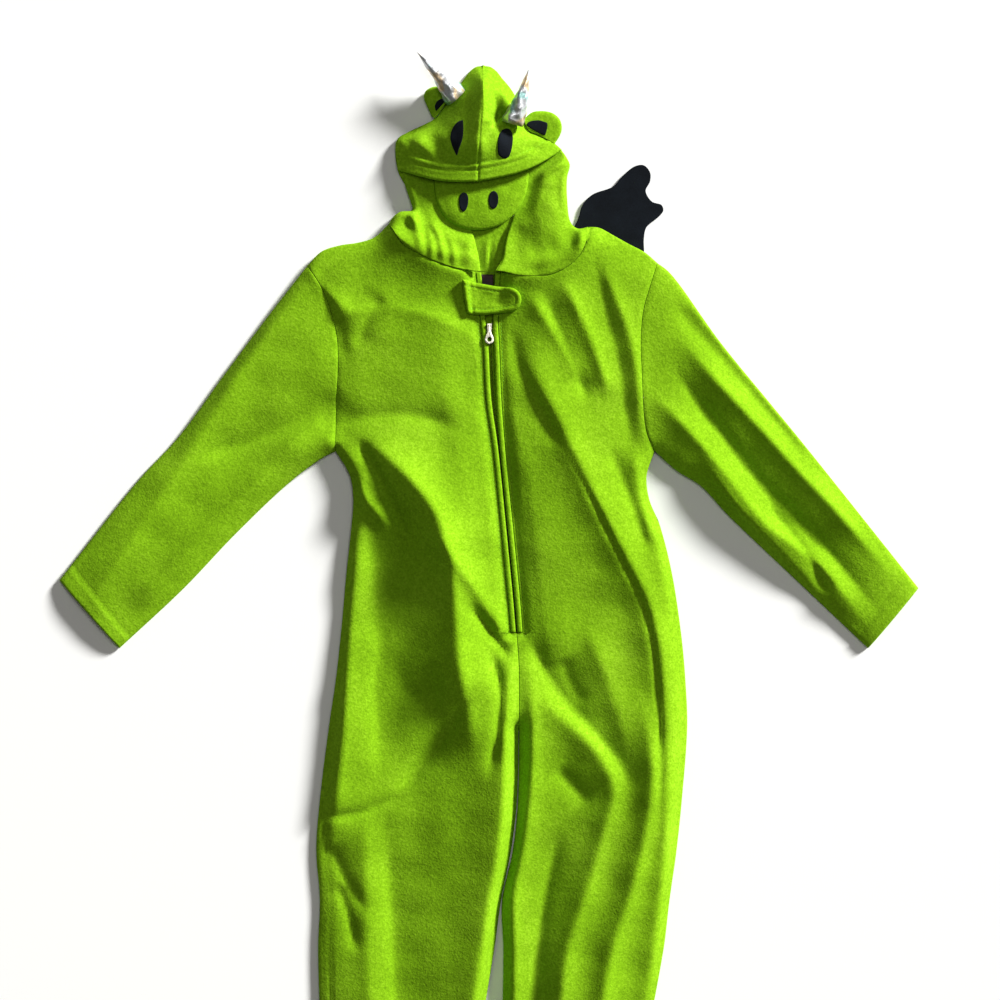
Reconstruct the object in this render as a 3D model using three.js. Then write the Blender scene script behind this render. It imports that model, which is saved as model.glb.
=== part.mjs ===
// Dragon costume: a child's hooded fleece one-piece suit, laid flat on its back.
// Millimetres, +Z up. +X is to the right as the suit is looked at from above, +Y is towards the hood.
// The origin is on the floor, under the middle of the back at hip height.
// Left and right are those of the viewer who looks down on the suit.

import * as THREE from 'three';

// Cloth and seams
const FLEECE = 2.5;
const PATCH = 1;
const WING_FELT = 3;
const SEAM = 0.3;
const SEAM_ASIDE = 1.3 * SEAM;

// How the suit lies
const LIFT = WING_FELT + SEAM;
const PUFF = 3.4;
const PUFF_REACH = 20;
const FOLD_EDGE_FADE = 8;
const FLOOR_SOFTNESS = 0.8;

// Lengths along the suit
const HEM_Y = -596;
const CROTCH_Y = -100;
const ZIP_END_Y = 9;
const ARMPIT_Y = 214;
const NECK_Y = 416.5;

// Zip
const WELT_WIDTH = 6.3;
const WELT_RISE = 0.5;
const TAPE_THICK = 1;
const TAPE_UNDER_PANEL = 5;
const PULL_PIVOT_X = -12;
const PULL_PIVOT_Y = 356;
const PULL_LENGTH = 21;
const PULL_RING_WIDTH = 10.3;
const PULL_THICK = 1.6;

// Hood
const HOOD_DOME = 40;
const SNOUT_BOTTOM = 2 * FLEECE + 3 * SEAM;
const SNOUT_THICK = 6;
const EAR_THICK = 2 * FLEECE;
const EAR_BOTTOM = 2.8;
const BRIM_HEM = 1.2;
const BRIM_HEM_DEPTH = 17;

// How the horns meet the crown
const HORN_SEARCH = 36;
const HORN_STEP = 0.2;
const HORN_RING_GAP = 1.5;
const HORN_SEAT_RISE = 2;

// Side seams of the trunk and the legs: x of each edge at each y
const trunkTable = [
  { y: -596, leftOuter: -193, leftInner: -51, rightInner: 3.4, rightOuter: 141 },
  { y: -465, leftOuter: -202, leftInner: -26.1, rightInner: 2.3, rightOuter: 164 },
  { y: -352, leftOuter: -206, leftInner: -6.8, rightInner: 4, rightOuter: 185 },
  { y: -295, leftOuter: -204, leftInner: 1.1, rightInner: 2.5, rightOuter: 192 },
  { y: -238, leftOuter: -208, leftInner: 12.5, rightInner: 14.7, rightOuter: 200 },
  { y: -181, leftOuter: -204, leftInner: 19.3, rightInner: 20.4, rightOuter: 206 },
  { y: -100, leftOuter: -194, leftInner: 21.1, rightInner: 21.6, rightOuter: 212 },
  { y: -45, leftOuter: -186, leftInner: 21.4, rightInner: 21.9, rightOuter: 210 },
  { y: 9, leftOuter: -180, leftInner: 18.6, rightInner: 19, rightOuter: 205 },
  { y: 74, leftOuter: -174, leftInner: 13, rightInner: 13, rightOuter: 195 },
  { y: 130, leftOuter: -168, leftInner: 7.9, rightInner: 7.9, rightOuter: 181 },
  { y: 159, leftOuter: -166, leftInner: 4.8, rightInner: 4.8, rightOuter: 169 },
  { y: 187, leftOuter: -170, leftInner: 2, rightInner: 2, rightOuter: 166 },
  { y: 214, leftOuter: -186, leftInner: -0.7, rightInner: -0.7, rightOuter: 175 },
];

// Zip line: x of its middle and half the width of the open slit at each y
const zipTable = [
  { y: -100, x: 21.4, slit: 0 },
  { y: -34, x: 21.5, slit: 0 },
  { y: 9, x: 18.8, slit: 0.6 },
  { y: 46, x: 15.9, slit: 0.7 },
  { y: 128, x: 7.9, slit: 0.7 },
  { y: 218, x: -1.1, slit: 0.9 },
  { y: 272, x: -7.1, slit: 2.6 },
  { y: 335, x: -10.2, slit: 3.1 },
  { y: 357, x: -12, slit: 3.8 },
  { y: 386, x: -12.5, slit: 5.4 },
  { y: 417, x: -13.6, slit: 7.9 },
];

// Armhole, shoulder and neck lines, each from its outer or lower end
const armholeLeft = [[-186, 214], [-185, 272], [-183, 306], [-184, 340], [-191, 372], [-203, 401],
  [-218, 424]];
const armholeRight = [[175, 214], [165, 237], [160, 306], [159, 339], [162, 374], [169, 399], [178, 427]];
const shoulderLeft = [[-218, 424], [-202, 440], [-181, 447], [-161, 450], [-142, 456], [-126, 471]];
const shoulderRight = [[178, 427], [164, 439], [147, 448], [129, 458], [112, 467], [100, 468]];
const neckLeft = [[-126, 471], [-109, 447], [-93, 437], [-74, 428], [-53, 421], [-28, 416.5]];
const neckRight = [[100, 468], [96, 447], [86, 430], [62, 414], [42, 411], [20, 412], [1, 416.5]];

// Edges of the sleeves, from the body to the cuff
const sleeveLeftUpper = [[-218, 424], [-261, 369], [-312, 301], [-365, 229], [-407, 184], [-499, 68]];
const sleeveLeftLower = [[-186, 214], [-203, 205], [-239, 178], [-300, 120], [-358, 59], [-431, -9]];
const sleeveRightUpper = [[178, 427], [192, 416], [249, 338], [303, 272], [340, 227], [474, 59]];
const sleeveRightLower = [[175, 214], [200, 192], [227, 175], [258, 142], [340, 64], [417, -9]];

// Folds of the front and the sleeves: half width, height (a trough is negative) and the line it runs along
const folds = [
  { name: 'chest_left_roll', width: 16, height: 3, path: [[-176, 397], [-113, 399], [-68, 386], [-34, 363]] },
  { name: 'chest_left_trough', width: 14, height: -2.5, path: [[-187, 249], [-102, 255], [-57, 238]] },
  { name: 'waist_left_first', width: 8, height: 4,
    path: [[-181, 213], [-164, 181], [-142, 153], [-122, 134]] },
  { name: 'waist_left_valley', width: 8, height: -3, path: [[-159, 213], [-138, 181], [-108, 125]] },
  { name: 'waist_left_drape', width: 14, height: 9, path: [[-153, 218], [-91, 170], [-51, 108], [9, 11]] },
  { name: 'waist_left_lee', width: 20, height: -4, path: [[-170, 153], [-113, 125], [-68, 68], [-51, 0]] },
  { name: 'side_left_band', width: 14, height: 4,
    path: [[-161, 113], [-159, -11], [-168, -68], [-181, -170]] },
  { name: 'inseam_left_ridge', width: 7, height: 4,
    path: [[6, -11], [11, -68], [6, -181], [-6, -295], [-24, -363]] },
  { name: 'leg_left_valley', width: 22, height: -4,
    path: [[-17, -125], [-32, -238], [-40, -329], [-68, -499]] },
  { name: 'leg_left_diagonal', width: 12, height: -4,
    path: [[-40, -68], [-57, -102], [-79, -125], [-119, -176]] },
  { name: 'leg_left_lower_ridge', width: 16, height: 3, path: [[-136, -249], [-125, -363], [-122, -499]] },
  { name: 'armhole_right_rim', width: 9, height: 3.5,
    path: [[119, 414], [145, 352], [154, 306], [159, 238]] },
  { name: 'chest_right_valley', width: 8, height: -3,
    path: [[110, 437], [113, 397], [138, 295], [150, 227]] },
  { name: 'chest_right_second', width: 9, height: 3, path: [[79, 397], [102, 340], [117, 295]] },
  { name: 'chest_right_drag', width: 9, height: 5, path: [[0, 346], [40, 301], [62, 272], [102, 236]] },
  { name: 'chest_right_drag_lee', width: 9, height: -4, path: [[3, 329], [28, 278], [62, 236]] },
  { name: 'belly_right_plateau', width: 38, height: 3, path: [[57, 193], [51, 91], [45, 11]] },
  { name: 'waist_right_valley', width: 13, height: -4.5,
    path: [[68, 210], [121, 91], [164, -23], [172, -113]] },
  { name: 'waist_right_drape', width: 9, height: 8,
    path: [[94, 215], [136, 130], [176, 57], [195, -11], [196, -136]] },
  { name: 'hip_right_trough', width: 12, height: -4, path: [[40, 0], [51, -34], [68, -62], [145, -153]] },
  { name: 'hip_right_ridge', width: 16, height: 4, path: [[102, 0], [119, -45], [142, -119]] },
  { name: 'leg_right_ridge', width: 14, height: 5,
    path: [[51, -68], [113, -136], [121, -170], [74, -352], [62, -476]] },
  { name: 'inseam_right_ridge', width: 7, height: 4,
    path: [[30, -11], [34, -68], [34, -170], [24, -238], [14, -363]] },
  { name: 'leg_right_inner_trough', width: 12, height: -4, path: [[60, -244], [51, -306], [34, -465]] },
  { name: 'leg_right_valley', width: 12, height: -4,
    path: [[147, -147], [136, -193], [113, -284], [102, -352]] },
  { name: 'leg_right_outer_ridge', width: 10, height: 4,
    path: [[164, -136], [164, -181], [119, -352], [108, -499]] },
  { name: 'leg_right_deep_valley', width: 8, height: -4.5,
    path: [[181, -113], [181, -204], [159, -352], [142, -476]] },
  { name: 'sleeve_left_trough', width: 14, height: -2.5, path: [[-187, 266], [-238, 244], [-295, 221]] },
  { name: 'sleeve_left_low_roll', width: 14, height: 2.5, path: [[-227, 227], [-306, 147], [-386, 68]] },
  { name: 'sleeve_right_groove', width: 8, height: -3,
    path: [[210, 361], [249, 318], [295, 266], [337, 223]] },
  { name: 'sleeve_right_ridge', width: 9, height: 4, path: [[221, 318], [266, 261], [340, 187], [431, 91]] },
  { name: 'sleeve_right_valley', width: 12, height: -4,
    path: [[204, 297], [272, 198], [306, 159], [420, 45]] },
  { name: 'sleeve_right_second', width: 10, height: 4,
    path: [[181, 266], [223, 227], [295, 136], [397, 45]] },
];

// Hood, seen from above
const hoodSideLeft = [[-126, 471], [-121, 479], [-113, 485], [-99, 487], [-101, 496], [-107, 514],
  [-112, 540]];
const hoodSideRight = [[100, 468], [88, 466], [80, 473], [76, 500], [76, 524], [79, 539], [73, 550]];
const flapEdgeLeft = [[-22, 416.5], [-24, 433], [-28, 450], [-32, 467], [-36, 499], [-45, 540]];
const flapEdgeRight = [[-5, 416.5], [3, 431], [5, 444], [9, 462], [15, 481], [28, 545]];
const crownLeft = [[-116, 532], [-117, 566], [-103, 576], [-84, 585], [-74, 591], [-60, 609], [-41, 634],
  [-30, 648]];
const crownRight = [[70, 555], [62, 562], [44, 572], [32, 578], [24, 601], [14, 622], [1, 636], [-9, 647]];
const crownSeam = [[-25, 517.5], [-23, 560], [-20, 600], [-19, 651.5]];
const brimLeft = [[-116, 532], [-91, 524], [-71, 519], [-49, 517], [-25, 517.5]];
const brimRight = [[70, 555], [53, 543], [35, 533], [16, 526], [-6, 521], [-25, 517.5]];
const hoodFolds = [
  { name: 'centre_ridge', width: 11, height: 6, path: [[-24, 530], [-20, 600], [-19, 640]] },
  { name: 'deep_crease', width: 8, height: -9, path: [[4, 618], [1, 606], [-6, 588]] },
  { name: 'right_roll', width: 9, height: 5, path: [[12, 618], [14, 600], [22, 585]] },
  { name: 'left_hollow', width: 12, height: -5, path: [[-86, 575], [-70, 555], [-66, 540]] },
  { name: 'right_hollow', width: 10, height: -4, path: [[52, 562], [36, 552]] },
];
const flapFolds = [
  { name: 'gather_1', width: 5, height: 2.2, path: [[-88, 458], [-80, 434]] },
  { name: 'gather_2', width: 5, height: 2.2, path: [[-70, 452], [-62, 427]] },
  { name: 'gather_3', width: 5, height: 2, path: [[-52, 446], [-46, 422]] },
  { name: 'left_neck_roll', width: 7, height: 5, path: [[-116, 478], [-104, 466], [-101, 450]] },
  { name: 'right_neck_roll', width: 6, height: 5, path: [[92, 462], [88, 444]] },
  { name: 'right_swell', width: 16, height: 2.5, path: [[52, 500], [50, 440]] },
];
const snoutOutline = [[34, 538], [30, 507], [22, 489], [11, 477], [-1, 469], [-19, 464], [-32, 464],
  [-47, 468], [-60, 476], [-69, 489], [-74, 507], [-75, 538]];
const earLeftInner = [[-75.5, 592], [-68, 603], [-60.8, 610], [-52.5, 619.5]];
const earLeftOuter = [[-77, 593], [-83, 606], [-86, 615], [-84, 622], [-73, 627], [-54, 622]];
const earRightInner = [[28.6, 590.5], [33, 578.6], [44.5, 572.6], [62, 563]];
const earRightOuter = [[29, 592], [37, 598], [51, 599], [61, 596], [68, 589], [70, 579], [67, 570],
  [63, 564]];
const earPatchLeft = [[-75, 602], [-74, 608], [-70, 613], [-65, 613], [-63, 611], [-68.5, 605.5], [-73, 599]];
const earPatchRight = [[33, 583], [37, 588], [43, 589], [50, 588.5], [54, 586], [54, 578], [52, 571.5],
  [45, 575]];

// Oval patches: centre, half width, half height and tilt in degrees
const patches = [
  { name: 'eye_left', x: -49.5, y: 570, halfWidth: 7.2, halfHeight: 19, tilt: -6, on: 'crown' },
  { name: 'eye_right', x: 6, y: 563, halfWidth: 8.4, halfHeight: 17, tilt: -5, on: 'crown' },
  { name: 'nostril_left', x: -41, y: 496, halfWidth: 5.2, halfHeight: 11.3, tilt: 0, on: 'snout' },
  { name: 'nostril_right', x: -8, y: 499, halfWidth: 5.4, halfHeight: 10.7, tilt: -3, on: 'snout' },
];

// Horns: where the axis leaves the crown, how far inside the seat is looked for, the tip, a bow to the
// side, the radius and how far over the crown the base lies
const horns = [
  { name: 'horn_left', base: [-50, 614, 22], inset: 24, tip: [-94, 666, 36], bow: [-2, 3, 4], radius: 10.5,
    over: 0.5 },
  { name: 'horn_right', base: [12, 589, 21], inset: 6, tip: [32, 650, 40], bow: [6, -1, 4], radius: 12,
    over: 0.8 },
];

// Wing: its outline from the root, along the leading edge, round the lobes and back
const wingOutline = [[6, 385], [45, 428], [85, 470], [94, 494], [105, 505], [128, 514], [139, 526],
  [153, 537], [163, 538], [170, 530], [170, 520], [165, 509], [172, 497], [183, 493], [185, 487],
  [181, 481], [166, 468], [163, 455], [163, 438], [158, 415], [150, 404], [140, 402], [128, 404],
  [104, 398], [66, 368], [30, 338], [8, 312]];
const WING_ROOT = [6, 350];
const LEFT_WING_ROOT = [-46, 372];
const LEFT_WING_TURN = THREE.MathUtils.degToRad(114);

// Mesh counts
const YOKE_ROWS = 10;
const SHOULDER_CELLS = 5;
const NECK_CELLS = 6;
const BACK_SHOULDER_CELLS = 2;
const BACK_NECK_CELLS = 3;
const SLEEVE_STATIONS = 15;
const SLEEVE_ACROSS = 9;
const FLAP_ROWS = 8;
const CROWN_ROWS = 11;
const CROWN_CELLS = 8;
const HORN_SIDES = 14;
const HORN_RINGS = 7;


// Small helpers

const clamp01 = (t) => Math.min(1, Math.max(0, t));
const ramp = (value, from, to) => clamp01((value - from) / (to - from));
const mix = (a, b, t) => a + (b - a) * t;

function smooth(value, from, to) {
  const t = ramp(value, from, to);
  return t * t * (3 - 2 * t);
}

// Value of one column of a table at y, on a smooth curve through its rows
function columnAt(table, column, y) {
  let i = 0;
  while (i < table.length - 2 && y > table[i + 1].y) i += 1;
  const before = table[Math.max(0, i - 1)];
  const a = table[i];
  const b = table[i + 1];
  const after = table[Math.min(table.length - 1, i + 2)];
  const span = b.y - a.y;
  const t = clamp01((y - a.y) / span);
  const slopeA = ((b[column] - before[column]) / (b.y - before.y)) * span;
  const slopeB = ((after[column] - a[column]) / (after.y - a.y)) * span;
  const t2 = t * t;
  const t3 = t2 * t;
  return (2 * t3 - 3 * t2 + 1) * a[column] + (t3 - 2 * t2 + t) * slopeA
    + (3 * t2 - 2 * t3) * b[column] + (t3 - t2) * slopeB;
}

// Evenly spaced points on the smooth curve through a short list
function spaced(list, cells) {
  const through = list.map(([x, y]) => new THREE.Vector3(x, y, 0));
  const curve = new THREE.CatmullRomCurve3(through, false, 'centripetal');
  return curve.getSpacedPoints(cells).map(({ x, y }) => ({ x, y }));
}

// Point at a share of the length of a chain of straight stretches
function alongChain(chain, share) {
  const steps = chain.slice(1).map((p, i) => Math.hypot(p.x - chain[i].x, p.y - chain[i].y));
  const whole = steps.reduce((sum, step) => sum + step, 0);
  let left = clamp01(share) * whole;
  for (let i = 0; i < steps.length; i += 1) {
    if (left <= steps[i] || i === steps.length - 1) {
      const t = Math.min(1, left / steps[i]);
      return { x: mix(chain[i].x, chain[i + 1].x, t), y: mix(chain[i].y, chain[i + 1].y, t) };
    }
    left -= steps[i];
  }
  return chain[chain.length - 1];
}

// Chain moved sideways, to the left of its own direction when the distance is positive
function movedAside(chain, distance) {
  return chain.map((p, i) => {
    const a = chain[Math.max(0, i - 1)];
    const b = chain[Math.min(chain.length - 1, i + 1)];
    const length = Math.hypot(b.x - a.x, b.y - a.y);
    return { x: p.x - ((b.y - a.y) / length) * distance, y: p.y + ((b.x - a.x) / length) * distance };
  });
}

// Distance from a point to a line of stretches, and how far along it the nearest place is
function nearest(path, x, y) {
  let best = Infinity;
  let share = 0;
  const lastStep = path.length - 1;
  for (let i = 0; i < lastStep; i += 1) {
    const [ax, ay] = path[i];
    const [bx, by] = path[i + 1];
    const ux = bx - ax;
    const uy = by - ay;
    const t = clamp01(((x - ax) * ux + (y - ay) * uy) / (ux * ux + uy * uy));
    const distance = Math.hypot(x - ax - t * ux, y - ay - t * uy);
    if (distance < best) {
      best = distance;
      share = (i + t) / lastStep;
    }
  }
  return { distance: best, share };
}

// Sum of the soft ridges and troughs at a point
function foldHeight(table, x, y) {
  return table.reduce((sum, row) => {
    const { distance, share } = nearest(row.path, x, y);
    if (distance > 3 * row.width) return sum;
    const taper = 0.35 + 0.65 * Math.sin(Math.PI * clamp01(0.12 + 0.76 * share));
    return sum + row.height * taper * Math.exp(-((distance / row.width) ** 2));
  }, 0);
}

// Plan meshes and cloth walls

// Rows of points of equal length, the first row lowest and each row from left to right
function gridPlan(rows) {
  const width = rows[0].length;
  const points = rows.flat();
  const faces = [];
  for (let i = 0; i < rows.length - 1; i += 1) {
    for (let j = 0; j < width - 1; j += 1) {
      const a = i * width + j;
      faces.push([a, a + 1, a + width + 1], [a, a + width + 1, a + width]);
    }
  }
  return { points, faces };
}

// Two plans as one, joined where their points meet
function joinedPlan(first, second) {
  const points = [];
  const faces = [];
  const known = new Map();
  for (const plan of [first, second]) {
    const at = plan.points.map((p) => {
      const key = `${p.x.toFixed(2)},${p.y.toFixed(2)}`;
      if (!known.has(key)) {
        known.set(key, points.length);
        points.push(p);
      }
      return known.get(key);
    });
    for (const face of plan.faces) faces.push(face.map((i) => at[i]));
  }
  return { points, faces };
}

// Rings that shrink an outline to its middle; each point keeps its reach, 1 at the outline
function discPlan(line, reaches) {
  const flat = line.map((p) => new THREE.Vector2(p.x, p.y));
  const outline = THREE.ShapeUtils.isClockWise(flat) ? [...line].reverse() : line;
  const middle = {
    x: outline.reduce((sum, p) => sum + p.x, 0) / outline.length,
    y: outline.reduce((sum, p) => sum + p.y, 0) / outline.length,
  };
  const points = [{ ...middle, reach: 0 }];
  for (const reach of reaches) {
    for (const p of outline) {
      points.push({ x: mix(middle.x, p.x, reach), y: mix(middle.y, p.y, reach), reach });
    }
  }
  const count = outline.length;
  const faces = outline.map((p, i) => [0, 1 + i, 1 + ((i + 1) % count)]);
  for (let ring = 0; ring < reaches.length - 1; ring += 1) {
    for (let i = 0; i < count; i += 1) {
      const a = 1 + ring * count + i;
      const b = 1 + ring * count + ((i + 1) % count);
      faces.push([a, a + count, b + count], [a, b + count, b]);
    }
  }
  return { points, faces };
}

function geometryOf(positions, faces) {
  const geometry = new THREE.BufferGeometry();
  geometry.setAttribute('position', new THREE.Float32BufferAttribute(positions.flat(), 3));
  geometry.setIndex(faces.flat());
  geometry.computeVertexNormals();
  return geometry;
}

// Closed wall over a plan, between a top and a bottom surface
function wall(plan, topAt, bottomAt) {
  const count = plan.points.length;
  const positions = plan.points.map((p) => [p.x, p.y, topAt(p.x, p.y, p)]);
  for (const p of plan.points) positions.push([p.x, p.y, bottomAt(p.x, p.y, p)]);
  const faces = [];
  const edges = new Set();
  for (const [a, b, c] of plan.faces) {
    faces.push([a, b, c], [c + count, b + count, a + count]);
    for (const [from, to] of [[a, b], [b, c], [c, a]]) edges.add(`${from},${to}`);
  }
  for (const edge of edges) {
    const [a, b] = edge.split(',').map(Number);
    if (!edges.has(`${b},${a}`)) faces.push([b, a, a + count], [b, a + count, b + count]);
  }
  return geometryOf(positions, faces);
}

// Closed wall through rings of equal length, outer rings and inner rings, open at both ends
function tubeWall(outerRings, innerRings) {
  const count = outerRings[0].length;
  const stations = outerRings.length;
  const inner = stations * count;
  const positions = [...outerRings.flat(), ...innerRings.flat()];
  const faces = [];
  for (let i = 0; i < stations - 1; i += 1) {
    for (let j = 0; j < count; j += 1) {
      const a = i * count + j;
      const b = i * count + ((j + 1) % count);
      faces.push([a, b, b + count], [a, b + count, a + count]);
      faces.push([inner + b, inner + a, inner + a + count]);
      faces.push([inner + b, inner + a + count, inner + b + count]);
    }
  }
  for (let j = 0; j < count; j += 1) {
    const k = (j + 1) % count;
    const last = (stations - 1) * count;
    faces.push([k, j, inner + j], [k, inner + j, inner + k]);
    faces.push([last + j, last + k, inner + last + k], [last + j, inner + last + k, inner + last + j]);
  }
  return geometryOf(positions, faces);
}

// Surfaces of the suit

const zipMiddle = (y) => columnAt(zipTable, 'x', y);
const zipSlit = (y) => columnAt(zipTable, 'slit', y);
const weltOuter = (y) => zipSlit(y) + WELT_WIDTH;

// Everything that lies over the wings is lifted by them
function lift(x, y) {
  const across = 1 - ramp(Math.abs(x), 205, 285);
  const along = ramp(y, 45, 110) * (1 - ramp(y, 480, 540));
  return LIFT * across * along;
}

const backTop = (x, y) => lift(x, y) + FLEECE;

const edgeLines = [
  trunkTable.map((row) => [row.leftOuter, row.y]),
  trunkTable.map((row) => [row.rightOuter, row.y]),
  trunkTable.filter((row) => row.y <= CROTCH_Y).map((row) => [row.leftInner, row.y]),
  trunkTable.filter((row) => row.y <= CROTCH_Y).map((row) => [row.rightInner, row.y]),
  shoulderLeft, shoulderRight, sleeveLeftUpper, sleeveLeftLower, sleeveRightUpper, sleeveRightLower,
];

function clothTop(x, y) {
  const edge = Math.min(...edgeLines.map((line) => nearest(line, x, y).distance));
  const puff = PUFF * (1 - Math.exp(-edge / PUFF_REACH));
  const fromZip = y > ZIP_END_Y ? Math.max(0, Math.abs(x - zipMiddle(y)) - weltOuter(y)) : PUFF_REACH;
  const calm = smooth(fromZip, 0, 14) * (1 - Math.exp(-((edge / FOLD_EDGE_FADE) ** 2)));
  const height = puff + foldHeight(folds, x, y) * calm;
  const above = FLOOR_SOFTNESS * Math.log(1 + Math.exp(height / FLOOR_SOFTNESS));
  return backTop(x, y) + SEAM + FLEECE + above;
}

const clothBottom = (x, y) => clothTop(x, y) - FLEECE;

// Outline rows of the front and back panels

function spread(from, to, steps) {
  return Array.from({ length: steps + 1 }, (_, i) => mix(from, to, i / steps));
}

const frontLevels = [
  ...spread(HEM_Y, CROTCH_Y, 19), ...spread(CROTCH_Y, -3, 6).slice(1), ZIP_END_Y,
  ...spread(ZIP_END_Y, ARMPIT_Y, 13).slice(1),
];
const backLevels = [...spread(HEM_Y, CROTCH_Y, 9), ...spread(CROTCH_Y, ARMPIT_Y, 9).slice(1)];

// Half a panel: straight rows up to the armpit, then rows that bend into the shoulder and the neck
function halfPanel({ side, levels, innerAt, armhole, top }) {
  const rows = levels.map((y) => {
    const outer = columnAt(trunkTable, `${side}Outer`, y);
    const inner = innerAt(y);
    const cells = top.length - 1;
    return spread(outer, inner, cells).map((x) => ({ x, y }));
  });
  const yokeRows = armhole.length - 1;
  const last = top.length - 1;
  for (let k = 1; k <= yokeRows; k += 1) {
    const t = k / yokeRows;
    const outer = armhole[k];
    const innerY = mix(ARMPIT_Y, NECK_Y, t);
    const inner = k === yokeRows ? top[last] : { x: innerAt(innerY), y: innerY };
    const bend = t ** 1.7;
    const bendAcross = t ** 0.6;
    rows.push(top.map((p, j) => {
      const u = j / last;
      const level = { x: mix(top[0].x, top[last].x, u), y: mix(top[0].y, top[last].y, u) };
      return {
        x: mix(outer.x, inner.x, u) + (p.x - level.x) * bendAcross,
        y: mix(outer.y, inner.y, u) + (p.y - level.y) * bend,
      };
    }));
  }
  if (side === 'right') return rows.map((row) => [...row].reverse());
  return rows;
}

const armholes = { left: spaced(armholeLeft, YOKE_ROWS), right: spaced(armholeRight, YOKE_ROWS) };
const necks = { left: spaced(neckLeft, NECK_CELLS), right: spaced(neckRight, NECK_CELLS) };
const shoulders = {
  left: spaced(shoulderLeft, SHOULDER_CELLS),
  right: spaced(shoulderRight, SHOULDER_CELLS),
};

function frontPanel(side) {
  const sign = side === 'left' ? -1 : 1;
  const innerAt = (y) => {
    if (y < CROTCH_Y) return columnAt(trunkTable, `${side}Inner`, y);
    if (y < ZIP_END_Y) return zipMiddle(y) + sign * SEAM;
    return zipMiddle(y) + sign * (weltOuter(y) + SEAM);
  };
  const top = [...shoulders[side], ...necks[side].slice(1)];
  return gridPlan(halfPanel({ side, levels: frontLevels, innerAt, armhole: armholes[side], top }));
}

const backNecks = {
  left: spaced([...neckLeft.slice(0, -1), [zipMiddle(NECK_Y), NECK_Y]], BACK_NECK_CELLS),
  right: spaced([...neckRight.slice(0, -1), [zipMiddle(NECK_Y), NECK_Y]], BACK_NECK_CELLS),
};

function backPanel() {
  const halves = ['left', 'right'].map((side) => {
    const innerAt = (y) => (y < CROTCH_Y ? columnAt(trunkTable, `${side}Inner`, y) : zipMiddle(y));
    const list = side === 'left' ? shoulderLeft : shoulderRight;
    const top = [...spaced(list, BACK_SHOULDER_CELLS), ...backNecks[side].slice(1)];
    return gridPlan(halfPanel({ side, levels: backLevels, innerAt, armhole: armholes[side], top }));
  });
  return joinedPlan(...halves);
}

// Sleeve: a flattened tube, open at the armhole and at the cuff
function sleeveRings(side) {
  const left = side === 'left';
  const upper = spaced(left ? sleeveLeftUpper : sleeveRightUpper, SLEEVE_STATIONS);
  const lower = spaced(left ? sleeveLeftLower : sleeveRightLower, SLEEVE_STATIONS);
  const mouth = movedAside(armholes[side], left ? SEAM_ASIDE : -SEAM_ASIDE);
  const outerRings = [];
  const innerRings = [];
  for (let i = 0; i <= SLEEVE_STATIONS; i += 1) {
    const fade = (1 - i / SLEEVE_STATIONS) ** 2;
    const width = Math.hypot(upper[i].x - lower[i].x, upper[i].y - lower[i].y);
    const placeAt = (w) => {
      const onMouth = alongChain(mouth, w);
      const level = { x: mix(lower[0].x, upper[0].x, w), y: mix(lower[0].y, upper[0].y, w) };
      return {
        x: mix(lower[i].x, upper[i].x, w) + (onMouth.x - level.x) * fade,
        y: mix(lower[i].y, upper[i].y, w) + (onMouth.y - level.y) * fade,
      };
    };
    const ringAt = (edgeInset, nextInset, shrink) => {
      const inset = nextInset / width;
      const across = spread(inset, 1 - inset, SLEEVE_ACROSS).map(placeAt);
      const low = placeAt(edgeInset / width);
      const high = placeAt(1 - edgeInset / width);
      const middleZ = (p) => (lift(p.x, p.y) + clothTop(p.x, p.y)) / 2;
      return [
        [low.x, low.y, middleZ(low)],
        ...across.map((p) => [p.x, p.y, lift(p.x, p.y) + shrink]),
        [high.x, high.y, middleZ(high)],
        ...across.reverse().map((p) => [p.x, p.y, clothTop(p.x, p.y) - shrink]),
      ];
    };
    outerRings.push(ringAt(0, 2.2, 0));
    innerRings.push(ringAt(FLEECE, FLEECE + 1.6, FLEECE));
  }
  if (left) return [outerRings.map(turned), innerRings.map(turned)];
  return [outerRings, innerRings];
}

function turned(ring) {
  return [ring[0], ...ring.slice(1).reverse()];
}

// Zip: two raised welts, two tapes under them, the slider and its pull tab

function stripPlan(side, innerOffset, outerOffset, fromY, toY, cells, across) {
  const sign = side === 'left' ? -1 : 1;
  const rows = spread(fromY, toY, cells).map((y) => {
    const a = zipMiddle(y) + sign * (zipSlit(y) + innerOffset);
    const b = zipMiddle(y) + sign * (zipSlit(y) + outerOffset);
    return spread(Math.min(a, b), Math.max(a, b), across).map((x) => ({ x, y }));
  });
  return gridPlan(rows);
}

function weltTop(x, y) {
  const middle = zipSlit(y) + WELT_WIDTH / 2;
  const fromMiddle = Math.abs(Math.abs(x - zipMiddle(y)) - middle) / (WELT_WIDTH / 2);
  const underTab = smooth(y, 362, 368);
  return clothTop(x, y) + WELT_RISE * (1 - underTab) * (1 - fromMiddle ** 2) - 0.4 * fromMiddle ** 2;
}

function tapeTop(x, y) {
  const under = Math.max(0, Math.abs(x - zipMiddle(y)) - weltOuter(y));
  return clothBottom(x, y) - SEAM - under * 0.2;
}

// Slider body in the slit, with two lugs that hold the pull tab
const pullBottom = clothTop(PULL_PIVOT_X, PULL_PIVOT_Y - PULL_LENGTH) + WELT_RISE + SEAM;
const pivotZ = pullBottom + PULL_THICK / 2;
const SLIDER_HALF = 2.7;
const SLIDER_FRONT = -6.5;
const SLIDER_REAR = 2.2;
const BRIDGE_INNER = 1.55;
const BRIDGE_OUTER = 2.4;
const BRIDGE_HALF = 1.3;
const BRIDGE_RISE = 2.6;
const EDGE_STEP = 0.05;
const sliderDeck = pivotZ - BRIDGE_HALF - EDGE_STEP - SEAM;

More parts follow.
